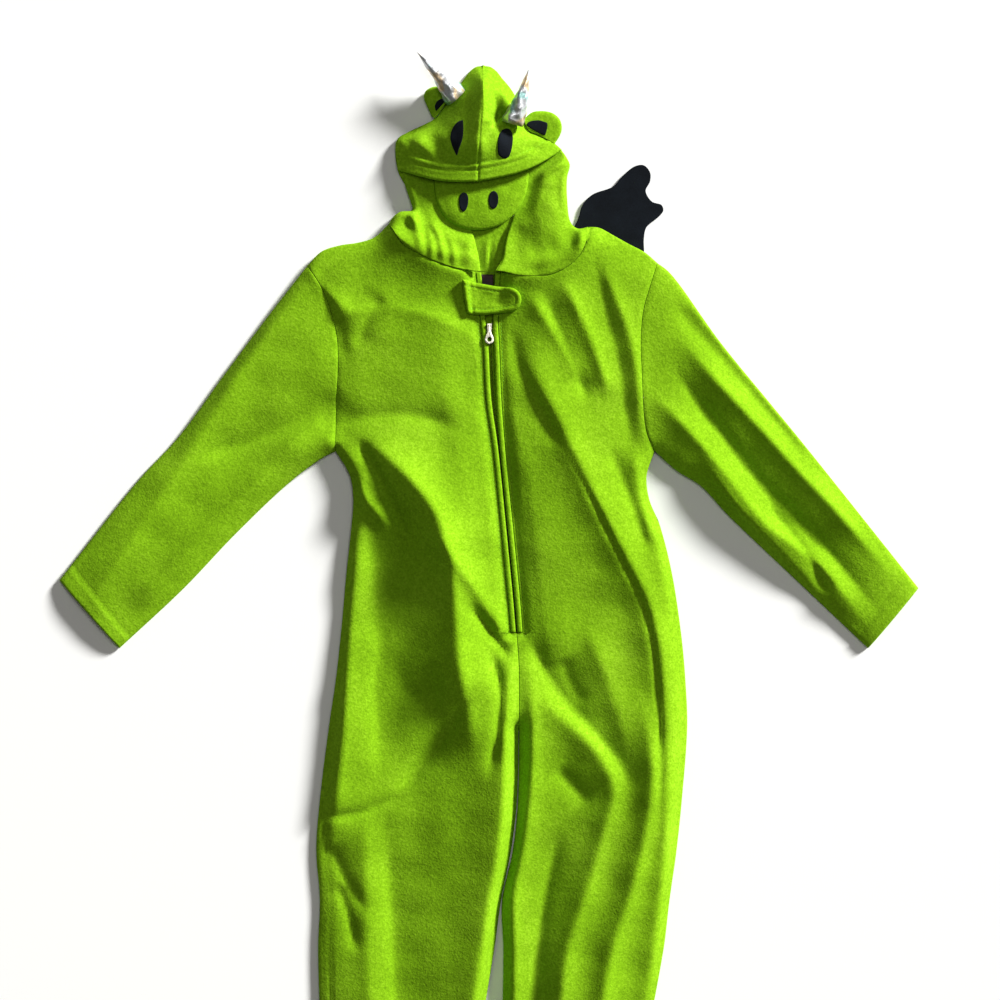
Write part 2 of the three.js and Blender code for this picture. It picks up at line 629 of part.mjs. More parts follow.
function sliderGeometry() {
  const lug = [BRIDGE_INNER - EDGE_STEP, BRIDGE_INNER, BRIDGE_OUTER, BRIDGE_OUTER + EDGE_STEP];
  const halfRow = [...lug, SLIDER_HALF];
  const xs = [...halfRow.map((x) => -x).reverse(), ...halfRow];
  const ends = [BRIDGE_HALF, BRIDGE_HALF + EDGE_STEP];
  const ys = [SLIDER_FRONT, -ends[1], -ends[0], ...ends, SLIDER_REAR];
  const placed = (dx, dy) => ({ x: PULL_PIVOT_X + dx, y: PULL_PIVOT_Y + dy, dx, dy });
  const plan = gridPlan(ys.map((dy) => xs.map((dx) => placed(dx, dy))));
  const between = (value, from, to) => Math.abs(value) >= from && Math.abs(value) <= to;
  const onBridge = ({ dx, dy }) => between(dx, BRIDGE_INNER, BRIDGE_OUTER) && between(dy, 0, BRIDGE_HALF);
  const bottom = tapeTop(PULL_PIVOT_X, PULL_PIVOT_Y) + SEAM;
  return wall(plan, (x, y, p) => sliderDeck + (onBridge(p) ? BRIDGE_RISE : 0), () => bottom);
}

function pullGeometry() {
  const ringMiddle = -(PULL_LENGTH - PULL_RING_WIDTH / 2);
  const neckHalf = 1.15;
  const radius = PULL_RING_WIDTH / 2;
  const outline = new THREE.Shape();
  outline.moveTo(-neckHalf, 1);
  outline.lineTo(-neckHalf, -5);
  outline.lineTo(-radius * 0.94, ringMiddle + 1.8);
  outline.absarc(0, ringMiddle, radius, Math.PI * 0.89, Math.PI * 2.11, false);
  outline.lineTo(neckHalf, -5);
  outline.lineTo(neckHalf, 1);
  outline.closePath();
  const hole = new THREE.Path();
  hole.absarc(0, ringMiddle, radius * 0.5, 0, Math.PI * 2, true);
  outline.holes.push(hole);
  const stamped = { depth: PULL_THICK, bevelEnabled: false, curveSegments: 10 };
  return new THREE.ExtrudeGeometry(outline, stamped).translate(0, 0, -PULL_THICK / 2);
}

// Neck tab: a padded tab with a rounded end, stitched down at its left end
function tabOutline() {
  const arc = { x: 10.5, y: 384.5, radius: 14 };
  const points = [{ x: -43, y: 407.5 }, { x: -41, y: 389 }, { x: -37, y: 368.5 }, { x: -18, y: 367.5 }];
  for (const degrees of [-85, -60, -35, -10, 15, 40, 65, 88]) {
    const angle = THREE.MathUtils.degToRad(degrees);
    points.push({ x: arc.x + arc.radius * Math.cos(angle), y: arc.y + arc.radius * Math.sin(angle) });
  }
  points.push({ x: -4, y: 400 }, { x: -24, y: 403.5 });
  return points;
}

const tabBottom = (x, y) => clothTop(x, y) + 3 * SEAM;

function tabTop(x, y, { reach }) {
  const dish = -1.2 * (1 - smooth(reach, 0.45, 0.8));
  const round = -1.4 * smooth(reach, 0.86, 1);
  return tabBottom(x, y) + 2 * FLEECE + 0.6 + dish + round;
}

// Hood: back, side flaps, crown, snout, patches, ears and horns

const flapBase = (x, y) => backTop(x, y) + 1.5 * SEAM;
const hoodLines = [hoodSideLeft, hoodSideRight];

function flapTop(x, y) {
  const edge = Math.min(...hoodLines.map((line) => nearest(line, x, y).distance));
  const open = 1 - smooth(y, 440, 462);
  const puff = 5.5 * open * (1 - Math.exp(-edge / 10));
  const fold = Math.max(0, foldHeight(flapFolds, x, y)) * open * (1 - Math.exp(-edge / 4));
  return flapBase(x, y) + FLEECE + puff + fold;
}

const fromBrim = (x, y) => Math.min(nearest(brimLeft, x, y).distance, nearest(brimRight, x, y).distance);
const brimHem = (x, y) => BRIM_HEM * (1 - smooth(fromBrim(x, y), BRIM_HEM_DEPTH, BRIM_HEM_DEPTH + 3));

function crownTop(x, y) {
  const edge = Math.min(nearest(crownLeft, x, y).distance, nearest(crownRight, x, y).distance);
  const rise = 0.36 + 0.64 * smooth(fromBrim(x, y), 0, 66);
  const dome = HOOD_DOME * rise * (1 - Math.exp(-((edge / 26) ** 1.3)));
  const calm = (1 - Math.exp(-((edge / 9) ** 2))) * smooth(fromBrim(x, y), 6, 30);
  const overFlap = (FLEECE + SEAM) * (1 - smooth(y, 556, 582));
  return backTop(x, y) + SEAM + FLEECE + overFlap + dome + foldHeight(hoodFolds, x, y) * calm + brimHem(x, y);
}

const crownBottom = (x, y) => crownTop(x, y) - FLEECE - brimHem(x, y);

// Rows between an outer and an inner line, the first row bent onto a given chain
function hoodPanel(outerList, innerList, firstRow, rowCount, side) {
  const outer = spaced(outerList, rowCount);
  const inner = spaced(innerList, rowCount);
  const last = firstRow.length - 1;
  const rows = outer.map((a, k) => {
    const b = inner[k];
    const fade = (1 - k / rowCount) ** 1.6;
    return firstRow.map((p, j) => {
      const u = j / last;
      const level = { x: mix(outer[0].x, inner[0].x, u), y: mix(outer[0].y, inner[0].y, u) };
      return { x: mix(a.x, b.x, u) + (p.x - level.x) * fade, y: mix(a.y, b.y, u) + (p.y - level.y) * fade };
    });
  });
  if (side === 'right') return gridPlan(rows.map((row) => [...row].reverse()));
  return gridPlan(rows);
}

// Chain with each stretch cut in two
function halved(chain) {
  return chain.flatMap((p, i) => {
    if (i === 0) return [p];
    const before = chain[i - 1];
    return [{ x: (before.x + p.x) / 2, y: (before.y + p.y) / 2 }, p];
  });
}

function flapPlan(side) {
  const left = side === 'left';
  const seam = movedAside(necks[side], left ? SEAM_ASIDE : -SEAM_ASIDE);
  const corner = left ? { x: -22, y: NECK_Y + 2 * SEAM } : { x: -5, y: NECK_Y + 2 * SEAM };
  const firstRow = [...halved(seam), corner];
  const outer = left ? hoodSideLeft : hoodSideRight;
  const inner = left ? flapEdgeLeft : flapEdgeRight;
  return hoodPanel(outer, inner, firstRow, FLAP_ROWS, side);
}

function crownPlan(side) {
  const left = side === 'left';
  const seam = crownSeam.map(([x, y]) => [x + (left ? -SEAM / 2 : SEAM / 2), y]);
  const brim = [...(left ? brimLeft : brimRight).slice(0, -1), seam[0]];
  return hoodPanel(left ? crownLeft : crownRight, seam, spaced(brim, CROWN_CELLS), CROWN_ROWS, side);
}

function hoodBackPlan() {
  const halves = ['left', 'right'].map((side) => {
    const left = side === 'left';
    const seam = movedAside(backNecks[side], left ? SEAM_ASIDE : -SEAM_ASIDE);
    seam[seam.length - 1] = { x: zipMiddle(NECK_Y), y: NECK_Y + SEAM_ASIDE };
    const sideLine = left
      ? [...hoodSideLeft.slice(0, -1), ...crownLeft]
      : [...hoodSideRight.slice(0, -1), ...crownRight];
    const middle = [[zipMiddle(NECK_Y), NECK_Y + SEAM_ASIDE], [-18, 540], [-19, 651.5]];
    return hoodPanel(sideLine, middle, halved(seam), 10, side);
  });
  return joinedPlan(...halves);
}

function snoutTop(x, y, { reach }) {
  const round = 1 - 0.55 * smooth(reach, 0.72, 1);
  const soft = 1 + 0.16 * (1 - reach);
  const underBrim = 1 - 0.25 * smooth(y, 505, 535);
  return SNOUT_BOTTOM + lift(x, y) + SNOUT_THICK * round * soft * underBrim;
}

const snoutPlan = discPlan(spaced(snoutOutline, 26), [0.35, 0.65, 0.85, 1]);

// Height of the snout at a place, from how far out of its middle the place is
function snoutSurface(x, y) {
  const middle = snoutPlan.points[0];
  const outline = spaced(snoutOutline, 26);
  const angle = Math.atan2(y - middle.y, x - middle.x);
  const edge = outline.reduce((best, p) => {
    const turn = Math.abs(Math.atan2(Math.sin(Math.atan2(p.y - middle.y, p.x - middle.x) - angle),
      Math.cos(Math.atan2(p.y - middle.y, p.x - middle.x) - angle)));
    return turn < best.turn ? { turn, reach: Math.hypot(p.x - middle.x, p.y - middle.y) } : best;
  }, { turn: Infinity, reach: 1 });
  return snoutTop(x, y, { reach: Math.hypot(x - middle.x, y - middle.y) / edge.reach });
}

function ovalOutline({ x, y, halfWidth, halfHeight, tilt }) {
  const turn = THREE.MathUtils.degToRad(tilt);
  return Array.from({ length: 16 }, (_, i) => {
    const angle = (i / 16) * Math.PI * 2;
    const a = halfWidth * Math.cos(angle);
    const b = halfHeight * Math.sin(angle);
    return { x: x + a * Math.cos(turn) - b * Math.sin(turn), y: y + a * Math.sin(turn) + b * Math.cos(turn) };
  });
}

function patchGeometry(row) {
  const surface = row.on === 'crown' ? crownTop : snoutSurface;
  const plan = discPlan(ovalOutline(row), [0.5, 1]);
  const bottom = (x, y) => surface(x, y) + 2 * SEAM;
  return wall(plan, (x, y) => bottom(x, y) + PATCH, bottom);
}

function earPlan(innerList, outerList, left) {
  const inner = spaced(innerList, 10);
  const outer = spaced(outerList, 10);
  const rows = spread(0, 1, 3).map((t) => inner.map((p, i) => ({
    x: mix(p.x, outer[i].x, t), y: mix(p.y, outer[i].y, t), reach: t,
  })));
  return gridPlan(left ? rows.map((row) => [...row].reverse()).reverse() : rows);
}

const earTop = (x, y, { reach }) => EAR_BOTTOM + EAR_THICK - 1.5 * smooth(reach, 0.6, 1);

function earPatchGeometry(list) {
  const plan = discPlan(list.map(([x, y]) => ({ x, y })), [1]);
  const bottom = EAR_BOTTOM + EAR_THICK + SEAM;
  return wall(plan, () => bottom + PATCH, () => bottom);
}

// Facets of the crown's outer surface, which the horns sit on
const crownFacets = ['left', 'right'].flatMap((side) => {
  const plan = crownPlan(side);
  const tops = plan.points.map((p) => ({ ...p, z: crownTop(p.x, p.y) }));
  return plan.faces.map((face) => face.map((i) => tops[i]));
});

// Height of the faceted crown at a place, or none beside it
function crownFacetTop(x, y) {
  for (const [p, q, r] of crownFacets) {
    const area = (q.x - p.x) * (r.y - p.y) - (r.x - p.x) * (q.y - p.y);
    const u = ((x - p.x) * (r.y - p.y) - (r.x - p.x) * (y - p.y)) / area;
    const v = ((q.x - p.x) * (y - p.y) - (x - p.x) * (q.y - p.y)) / area;
    if (u >= 0 && v >= 0 && u + v <= 1) return p.z + u * (q.z - p.z) + v * (r.z - p.z);
  }
  return -Infinity;
}

function clearOfCrown({ x, y, z }, over) {
  const beside = 1.5 * over;
  const around = [[0, 0], [beside, 0], [-beside, 0], [0, beside], [0, -beside]];
  return around.every(([dx, dy]) => z > crownFacetTop(x + dx, y + dy) + over);
}

// Slides a point of the horn's base down its axis until it meets the crown
function settled(p, axis, inset, over) {
  const place = p.clone().addScaledVector(axis, HORN_SEARCH);
  for (let back = 0; back < HORN_SEARCH + inset; back += HORN_STEP) {
    const next = place.clone().addScaledVector(axis, -HORN_STEP);
    if (!clearOfCrown(next, over)) break;
    place.copy(next);
  }
  return place;
}

// Horn: round rings from the crown's surface to the tip, on a slightly bowed axis
function hornGeometry({ base, inset, tip, bow, radius, over }) {
  const from = new THREE.Vector3(...base);
  const to = new THREE.Vector3(...tip);
  const axis = new THREE.Vector3().subVectors(to, from).normalize();
  const across = new THREE.Vector3().crossVectors(axis, new THREE.Vector3(0, 0, 1)).normalize();
  const upright = new THREE.Vector3().crossVectors(across, axis);
  const rings = spread(0, 1 - 1 / HORN_RINGS, HORN_RINGS - 1).map((t) => {
    const middle = from.clone().lerp(to, t).addScaledVector(new THREE.Vector3(...bow), Math.sin(Math.PI * t));
    const size = radius * (1 - t) ** 0.85;
    return Array.from({ length: HORN_SIDES }, (_, i) => {
      const angle = (i / HORN_SIDES) * Math.PI * 2;
      const p = middle.clone().addScaledVector(across, size * Math.cos(angle));
      return p.addScaledVector(upright, size * Math.sin(angle));
    });
  });
  rings[0] = rings[0].map((p) => settled(p, axis, inset, over));
  rings.slice(1).forEach((ring, k) => ring.forEach((p, i) => {
    const least = HORN_RING_GAP * (k + 1);
    const ahead = p.clone().sub(rings[0][i]).dot(axis);
    if (ahead < least) p.addScaledVector(axis, least - ahead);
    while (!clearOfCrown(p, over)) p.z += HORN_STEP;
  }));
  const seat = new THREE.Vector3();
  for (const p of rings[0]) seat.addScaledVector(p, 1 / HORN_SIDES);
  while (!clearOfCrown(seat, over)) seat.addScaledVector(axis, HORN_STEP);
  seat.addScaledVector(axis, HORN_SEAT_RISE);
  const positions = [...rings.flat(), seat, to].map((p) => p.toArray());
  const seatAt = HORN_SIDES * HORN_RINGS;
  const top = seatAt - HORN_SIDES;
  const faces = [];
  for (let i = 0; i < HORN_SIDES; i += 1) {
    const j = (i + 1) % HORN_SIDES;
    faces.push([seatAt, i, j], [top + i, seatAt + 1, top + j]);
    for (let a = 0; a < top; a += HORN_SIDES) {
      faces.push([a + i, a + HORN_SIDES + j, a + j], [a + i, a + HORN_SIDES + i, a + HORN_SIDES + j]);
    }
  }
  return geometryOf(positions, faces);
}

// Wing: flat felt, the left one mirrored and turned down under the back
function wingGeometry(left) {
  const points = wingOutline.map(([x, y]) => {
    const dx = (x - WING_ROOT[0]) * (left ? -1 : 1);
    const dy = y - WING_ROOT[1];
    const turn = left ? LEFT_WING_TURN : 0;
    const root = left ? LEFT_WING_ROOT : WING_ROOT;
    return new THREE.Vector2(
      root[0] + dx * Math.cos(turn) - dy * Math.sin(turn),
      root[1] + dx * Math.sin(turn) + dy * Math.cos(turn),
    );
  });
  const outline = new THREE.Shape();
  outline.moveTo(points[0].x, points[0].y);
  outline.splineThru([...points.slice(1), points[0]]);
  return new THREE.ExtrudeGeometry(outline, { depth: WING_FELT, bevelEnabled: false, curveSegments: 2 });
}

// Materials
const finish = {
  fleece: { color: 0x7fc21a, roughness: 0.95, metalness: 0 },
  blackFelt: { color: 0x0c1014, roughness: 0.9, metalness: 0 },
  lame: { color: 0xb9bcc0, roughness: 0.35, metalness: 0.7 },
  tape: { color: 0x1a2416, roughness: 0.85, metalness: 0 },
  zinc: { color: 0xcfcbb8, roughness: 0.35, metalness: 0.9 },
  label: { color: 0x3a0f14, roughness: 0.8, metalness: 0 },
};

const costume = new THREE.Group();

function add(name, geometry, kind) {
  const mesh = new THREE.Mesh(geometry, new THREE.MeshStandardMaterial(finish[kind]));
  mesh.name = name;
  costume.add(mesh);
  return mesh;
}

// The pieces, from the floor up
add('wing_right', wingGeometry(false), 'blackFelt');
add('wing_left', wingGeometry(true), 'blackFelt');
add('back', wall(backPanel(), backTop, lift), 'fleece');
add('hood_back', wall(hoodBackPlan(), backTop, lift), 'fleece');
for (const side of ['left', 'right']) {
  add(`front_${side}`, wall(frontPanel(side), clothTop, clothBottom), 'fleece');
  add(`sleeve_${side}`, tubeWall(...sleeveRings(side)), 'fleece');
  const welt = stripPlan(side, 0, WELT_WIDTH, ZIP_END_Y, NECK_Y - 0.5, 24, 4);
  add(`zip_welt_${side}`, wall(welt, weltTop, clothBottom), 'fleece');
  const tape = stripPlan(side, SEAM, WELT_WIDTH + TAPE_UNDER_PANEL, ZIP_END_Y + 2, NECK_Y - 1, 18, 2);
  add(`zip_tape_${side}`, wall(tape, tapeTop, (x, y) => tapeTop(x, y) - TAPE_THICK), 'tape');
  add(`hood_flap_${side}`, wall(flapPlan(side), flapTop, (x, y) => flapTop(x, y) - FLEECE), 'fleece');
  add(`hood_crown_${side}`, wall(crownPlan(side), crownTop, crownBottom), 'fleece');
}
add('zip_slider', sliderGeometry(), 'zinc');
add('zip_pull', pullGeometry(), 'zinc').position.set(PULL_PIVOT_X, PULL_PIVOT_Y, pivotZ);
add('neck_tab', wall(discPlan(tabOutline(), [0.45, 0.8, 0.92, 1]), tabTop, tabBottom), 'fleece');
const labelRows = [399, 414].map((y) => [-22.7, -7.4].map((x) => ({ x, y })));
const labelBottom = (x, y) => backTop(x, y) + SEAM;
add('neck_label', wall(gridPlan(labelRows), (x, y) => labelBottom(x, y) + PATCH, labelBottom), 'label');
add('snout', wall(snoutPlan, snoutTop, (x, y) => SNOUT_BOTTOM + lift(x, y)), 'fleece');
for (const row of patches) add(row.name, patchGeometry(row), 'blackFelt');
add('ear_left', wall(earPlan(earLeftInner, earLeftOuter, true), earTop, () => EAR_BOTTOM), 'fleece');
add('ear_right', wall(earPlan(earRightInner, earRightOuter, false), earTop, () => EAR_BOTTOM), 'fleece');
add('ear_inner_left', earPatchGeometry(earPatchLeft), 'blackFelt');
add('ear_inner_right', earPatchGeometry(earPatchRight), 'blackFelt');
for (const row of horns) add(row.name, hornGeometry(row), 'lame');

export default costume;
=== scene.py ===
"""Dragon costume: a child's hooded one-piece suit of lime green fleece, laid flat on its back.

The frame is in metres, +Z up, +X to the right of a viewer who looks down on the suit, +Y towards the hood.
The pattern is kept in millimetres, in tables with named columns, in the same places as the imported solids.
"""
import math

import bpy
import numpy as np
from bpy.props import FloatProperty, FloatVectorProperty, PointerProperty
from bpy.types import Operator, Panel, PropertyGroup
from mathutils import Matrix, Vector


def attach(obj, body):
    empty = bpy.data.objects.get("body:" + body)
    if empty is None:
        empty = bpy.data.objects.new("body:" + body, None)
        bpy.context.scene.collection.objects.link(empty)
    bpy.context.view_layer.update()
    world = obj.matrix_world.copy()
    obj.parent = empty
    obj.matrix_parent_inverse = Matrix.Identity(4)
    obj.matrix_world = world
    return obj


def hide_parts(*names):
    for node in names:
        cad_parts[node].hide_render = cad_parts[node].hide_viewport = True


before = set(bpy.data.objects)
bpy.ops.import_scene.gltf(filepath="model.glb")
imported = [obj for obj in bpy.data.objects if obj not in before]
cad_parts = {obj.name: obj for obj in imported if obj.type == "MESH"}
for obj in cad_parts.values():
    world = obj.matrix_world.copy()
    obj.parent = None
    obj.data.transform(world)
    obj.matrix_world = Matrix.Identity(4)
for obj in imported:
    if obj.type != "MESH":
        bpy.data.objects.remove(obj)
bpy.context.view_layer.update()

bl_info = {
    "name": "Dragon Costume",
    "version": (1, 0, 0),
    "blender": (4, 5, 0),
    "location": "3D View > Sidebar > Costume",
    "description": "Builds a child's fleece dragon costume, laid flat, round its packed solids",
    "category": "Add Mesh",
}

MM = 0.001
SIDES = ("left", "right")


def named_columns(names, rows):
    """A table as one array for each named column."""
    return dict(zip(names.split(), np.array(rows, float).T))


def hex_to_linear(text):
    """An sRGB hex colour as linear red, green and blue."""
    parts = (int(text[i:i + 2], 16) / 255 for i in (1, 3, 5))
    return tuple(c / 12.92 if c <= 0.04045 else ((c + 0.055) / 1.055) ** 2.4 for c in parts)


# The pattern, in millimetres

HEM_Y = -596
CROTCH_Y = -100
ZIP_END_Y = 9
ARMPIT_Y = 214
NECK_Y = 416.5
PANEL_WIDTH = 195
YOKE_LENGTH = 210
SLIDER_LOW_Y = 349
SLIDER_HIGH_Y = 359
COIL_PITCH = 1.4
SLEEVE_LENGTH = 440
SLEEVE_WIDTH = 185
HEM_SEWING = 21
BRIM_SEWING = (12.8, 19.3)
LABEL_BOX = (-22.7, 399, -7.4, 414)
TAB_SEWN_END = [(-33.5, 404), (-30.5, 369.5)]
TAB_SEWING = 6.2
EAR_UNDERSIDE = 2.8
EAR_THICKNESS = 4.4

# Side seams of the trunk and the legs
TRUNK = named_columns("y left_outer left_inner right_inner right_outer", [
    (-596, -193, -51, 3.4, 141),
    (-465, -202, -26.1, 2.3, 164),
    (-352, -206, -6.8, 4, 185),
    (-295, -204, 1.1, 2.5, 192),
    (-238, -208, 12.5, 14.7, 200),
    (-181, -204, 19.3, 20.4, 206),
    (-100, -194, 21.1, 21.6, 212),
    (-45, -186, 21.4, 21.9, 210),
    (9, -180, 18.6, 19, 205),
    (74, -174, 13, 13, 195),
    (130, -168, 7.9, 7.9, 181),
    (159, -166, 4.8, 4.8, 169),
    (187, -170, 2, 2, 166),
    (214, -186, -0.7, -0.7, 175),
])

# Middle of the zip, and half of the open slit between its welts
ZIP = named_columns("y x slit", [
    (-100, 21.4, 0),
    (-34, 21.5, 0),
    (9, 18.8, 0.6),
    (46, 15.9, 0.7),
    (128, 7.9, 0.7),
    (218, -1.1, 0.9),
    (272, -7.1, 2.6),
    (335, -10.2, 3.1),
    (357, -12, 3.8),
    (386, -12.5, 5.4),
    (417, -13.6, 7.9),
])

# Seam and edge lines, each from its outer or lower end
ARMHOLE = {
    "left": [(-186, 214), (-185, 272), (-183, 306), (-184, 340), (-191, 372), (-203, 401), (-218, 424)],
    "right": [(175, 214), (165, 237), (160, 306), (159, 339), (162, 374), (169, 399), (178, 427)],
}
SHOULDER = {
    "left": [(-218, 424), (-202, 440), (-181, 447), (-161, 450), (-142, 456), (-126, 471)],
    "right": [(178, 427), (164, 439), (147, 448), (129, 458), (112, 467), (100, 468)],
}
NECK = {
    "left": [(-126, 471), (-109, 447), (-93, 437), (-74, 428), (-53, 421), (-28, 416.5)],
    "right": [(100, 468), (96, 447), (86, 430), (62, 414), (42, 411), (20, 412), (1, 416.5)],
}
SLEEVE_UPPER = {
    "left": [(-218, 424), (-261, 369), (-312, 301), (-365, 229), (-407, 184), (-499, 68)],
    "right": [(178, 427), (192, 416), (249, 338), (303, 272), (340, 227), (474, 59)],
}
SLEEVE_LOWER = {
    "left": [(-186, 214), (-203, 205), (-239, 178), (-300, 120), (-358, 59), (-431, -9)],
    "right": [(175, 214), (200, 192), (227, 175), (258, 142), (340, 64), (417, -9)],
}
HOOD_SIDE = {
    "left": [(-126, 471), (-121, 479), (-113, 485), (-99, 487), (-101, 496), (-107, 514), (-112, 540)],
    "right": [(100, 468), (88, 466), (80, 473), (76, 500), (76, 524), (79, 539), (73, 550)],
}
FLAP_EDGE = {
    "left": [(-22, 416.5), (-24, 433), (-28, 450), (-32, 467), (-36, 499), (-45, 540)],
    "right": [(-5, 416.5), (3, 431), (5, 444), (9, 462), (15, 481), (28, 545)],
}
CROWN_SIDE = {
    "left": [(-116, 532), (-117, 566), (-103, 576), (-84, 585), (-74, 591), (-60, 609), (-42, 634),
             (-34, 644.5), (-27, 649.5), (-21.5, 650.4)],
    "right": [(70, 555), (62, 562), (44, 572), (32, 578), (24, 601), (14, 622), (2, 637), (-4, 644.5),
              (-11, 649.5), (-16.5, 650.4)],
}
CROWN_SEAM = [(-25, 517.5), (-23, 560), (-20, 600), (-19, 650.5)]
BRIM = {
    "left": [(-116, 532), (-91, 524), (-71, 519), (-49, 517), (-25, 517.5)],
    "right": [(70, 555), (53, 543), (35, 533), (16, 526), (-6, 521), (-25, 517.5)],
}
SNOUT = [(34, 538), (30, 507), (22, 489), (11, 477), (-1, 469), (-19, 464), (-32, 464), (-47, 468),
         (-60, 476), (-69, 489), (-74, 507), (-75, 538)]
EAR_ROOT = {"left": [(-74.8, 591.6), (-51.8, 619)], "right": [(28, 590.2), (61.8, 562.6)]}
EAR_OUTER_EDGE = {
    "left": [(-77, 593), (-83, 606), (-86, 615), (-84, 622), (-73, 627), (-54, 622)],
    "right": [(29, 592), (37, 598), (51, 599), (61, 596), (68, 589), (70, 579), (67, 570), (63, 564)],
}
EAR_PATCH = {
    "left": [(-62, 610.5), (-66, 613), (-71.5, 610), (-74, 604), (-72.5, 598.3), (-68.5, 602.5),
             (-65.5, 606)],
    "right": [(29.5, 583), (31.4, 586), (37.5, 588), (44.4, 588.3), (53.7, 585.5), (53.4, 579), (51, 571),
              (46, 572.8), (40, 576), (34, 579.5)],
}
WING = [(6, 385), (45, 428), (85, 470), (94, 494), (105, 505), (128, 514), (139, 526), (153, 537), (163, 538),
        (170, 530), (170, 520), (165, 509), (172, 497), (183, 493), (185, 487), (181, 481), (166, 468),
        (163, 455), (163, 438), (158, 415), (150, 404), (140, 402), (128, 404), (104, 398), (66, 368),
        (30, 338), (8, 312)]
WING_ROOT = (6, 350)
LEFT_WING_ROOT = (-46, 372)
LEFT_WING_TURN = math.radians(114)

# Face patches, each round its outline
PATCHES = {
    "eye_left": [(-41.5, 585.6), (-47, 584), (-52, 579), (-55, 572), (-56, 565), (-54, 557), (-51, 550),
                 (-48.4, 545), (-46, 553), (-42.8, 560.5), (-41.3, 568), (-41, 578)],
    "eye_right": [(8.2, 577), (3.3, 575), (-0.2, 570.5), (-2, 564), (-2.8, 555), (-2, 547), (1.7, 543.7),
                  (6, 542.6), (10.3, 545), (12.5, 551), (13.8, 557), (14.6, 566), (13.6, 573), (11.2, 576)],
    "nostril_left": [(-41.1, 506.4), (-44.5, 504.5), (-46.2, 499), (-46, 491), (-44.3, 486), (-41.3, 483.7),
                     (-38.2, 486.3), (-36.1, 492.4), (-35.6, 500), (-37.4, 504.7)],
    "nostril_right": [(-7.5, 508.1), (-10.8, 506), (-12.7, 501), (-12.9, 494.5), (-11, 488.7), (-7.5, 487),
                      (-4, 489), (-2, 494.5), (-1.9, 502), (-4.3, 506.6)],
}

# Horns: middle of the base, tip, bow to the side and radius at the base
HORNS = {
    "horn_left": ((-52, 616, 15), (-94, 661.5, 31), (1.5, 1.3, 3), 13.5),
    "horn_right": ((14.5, 586, 26), (32, 644, 36), (2.5, -0.5, 4), 12.5),
}

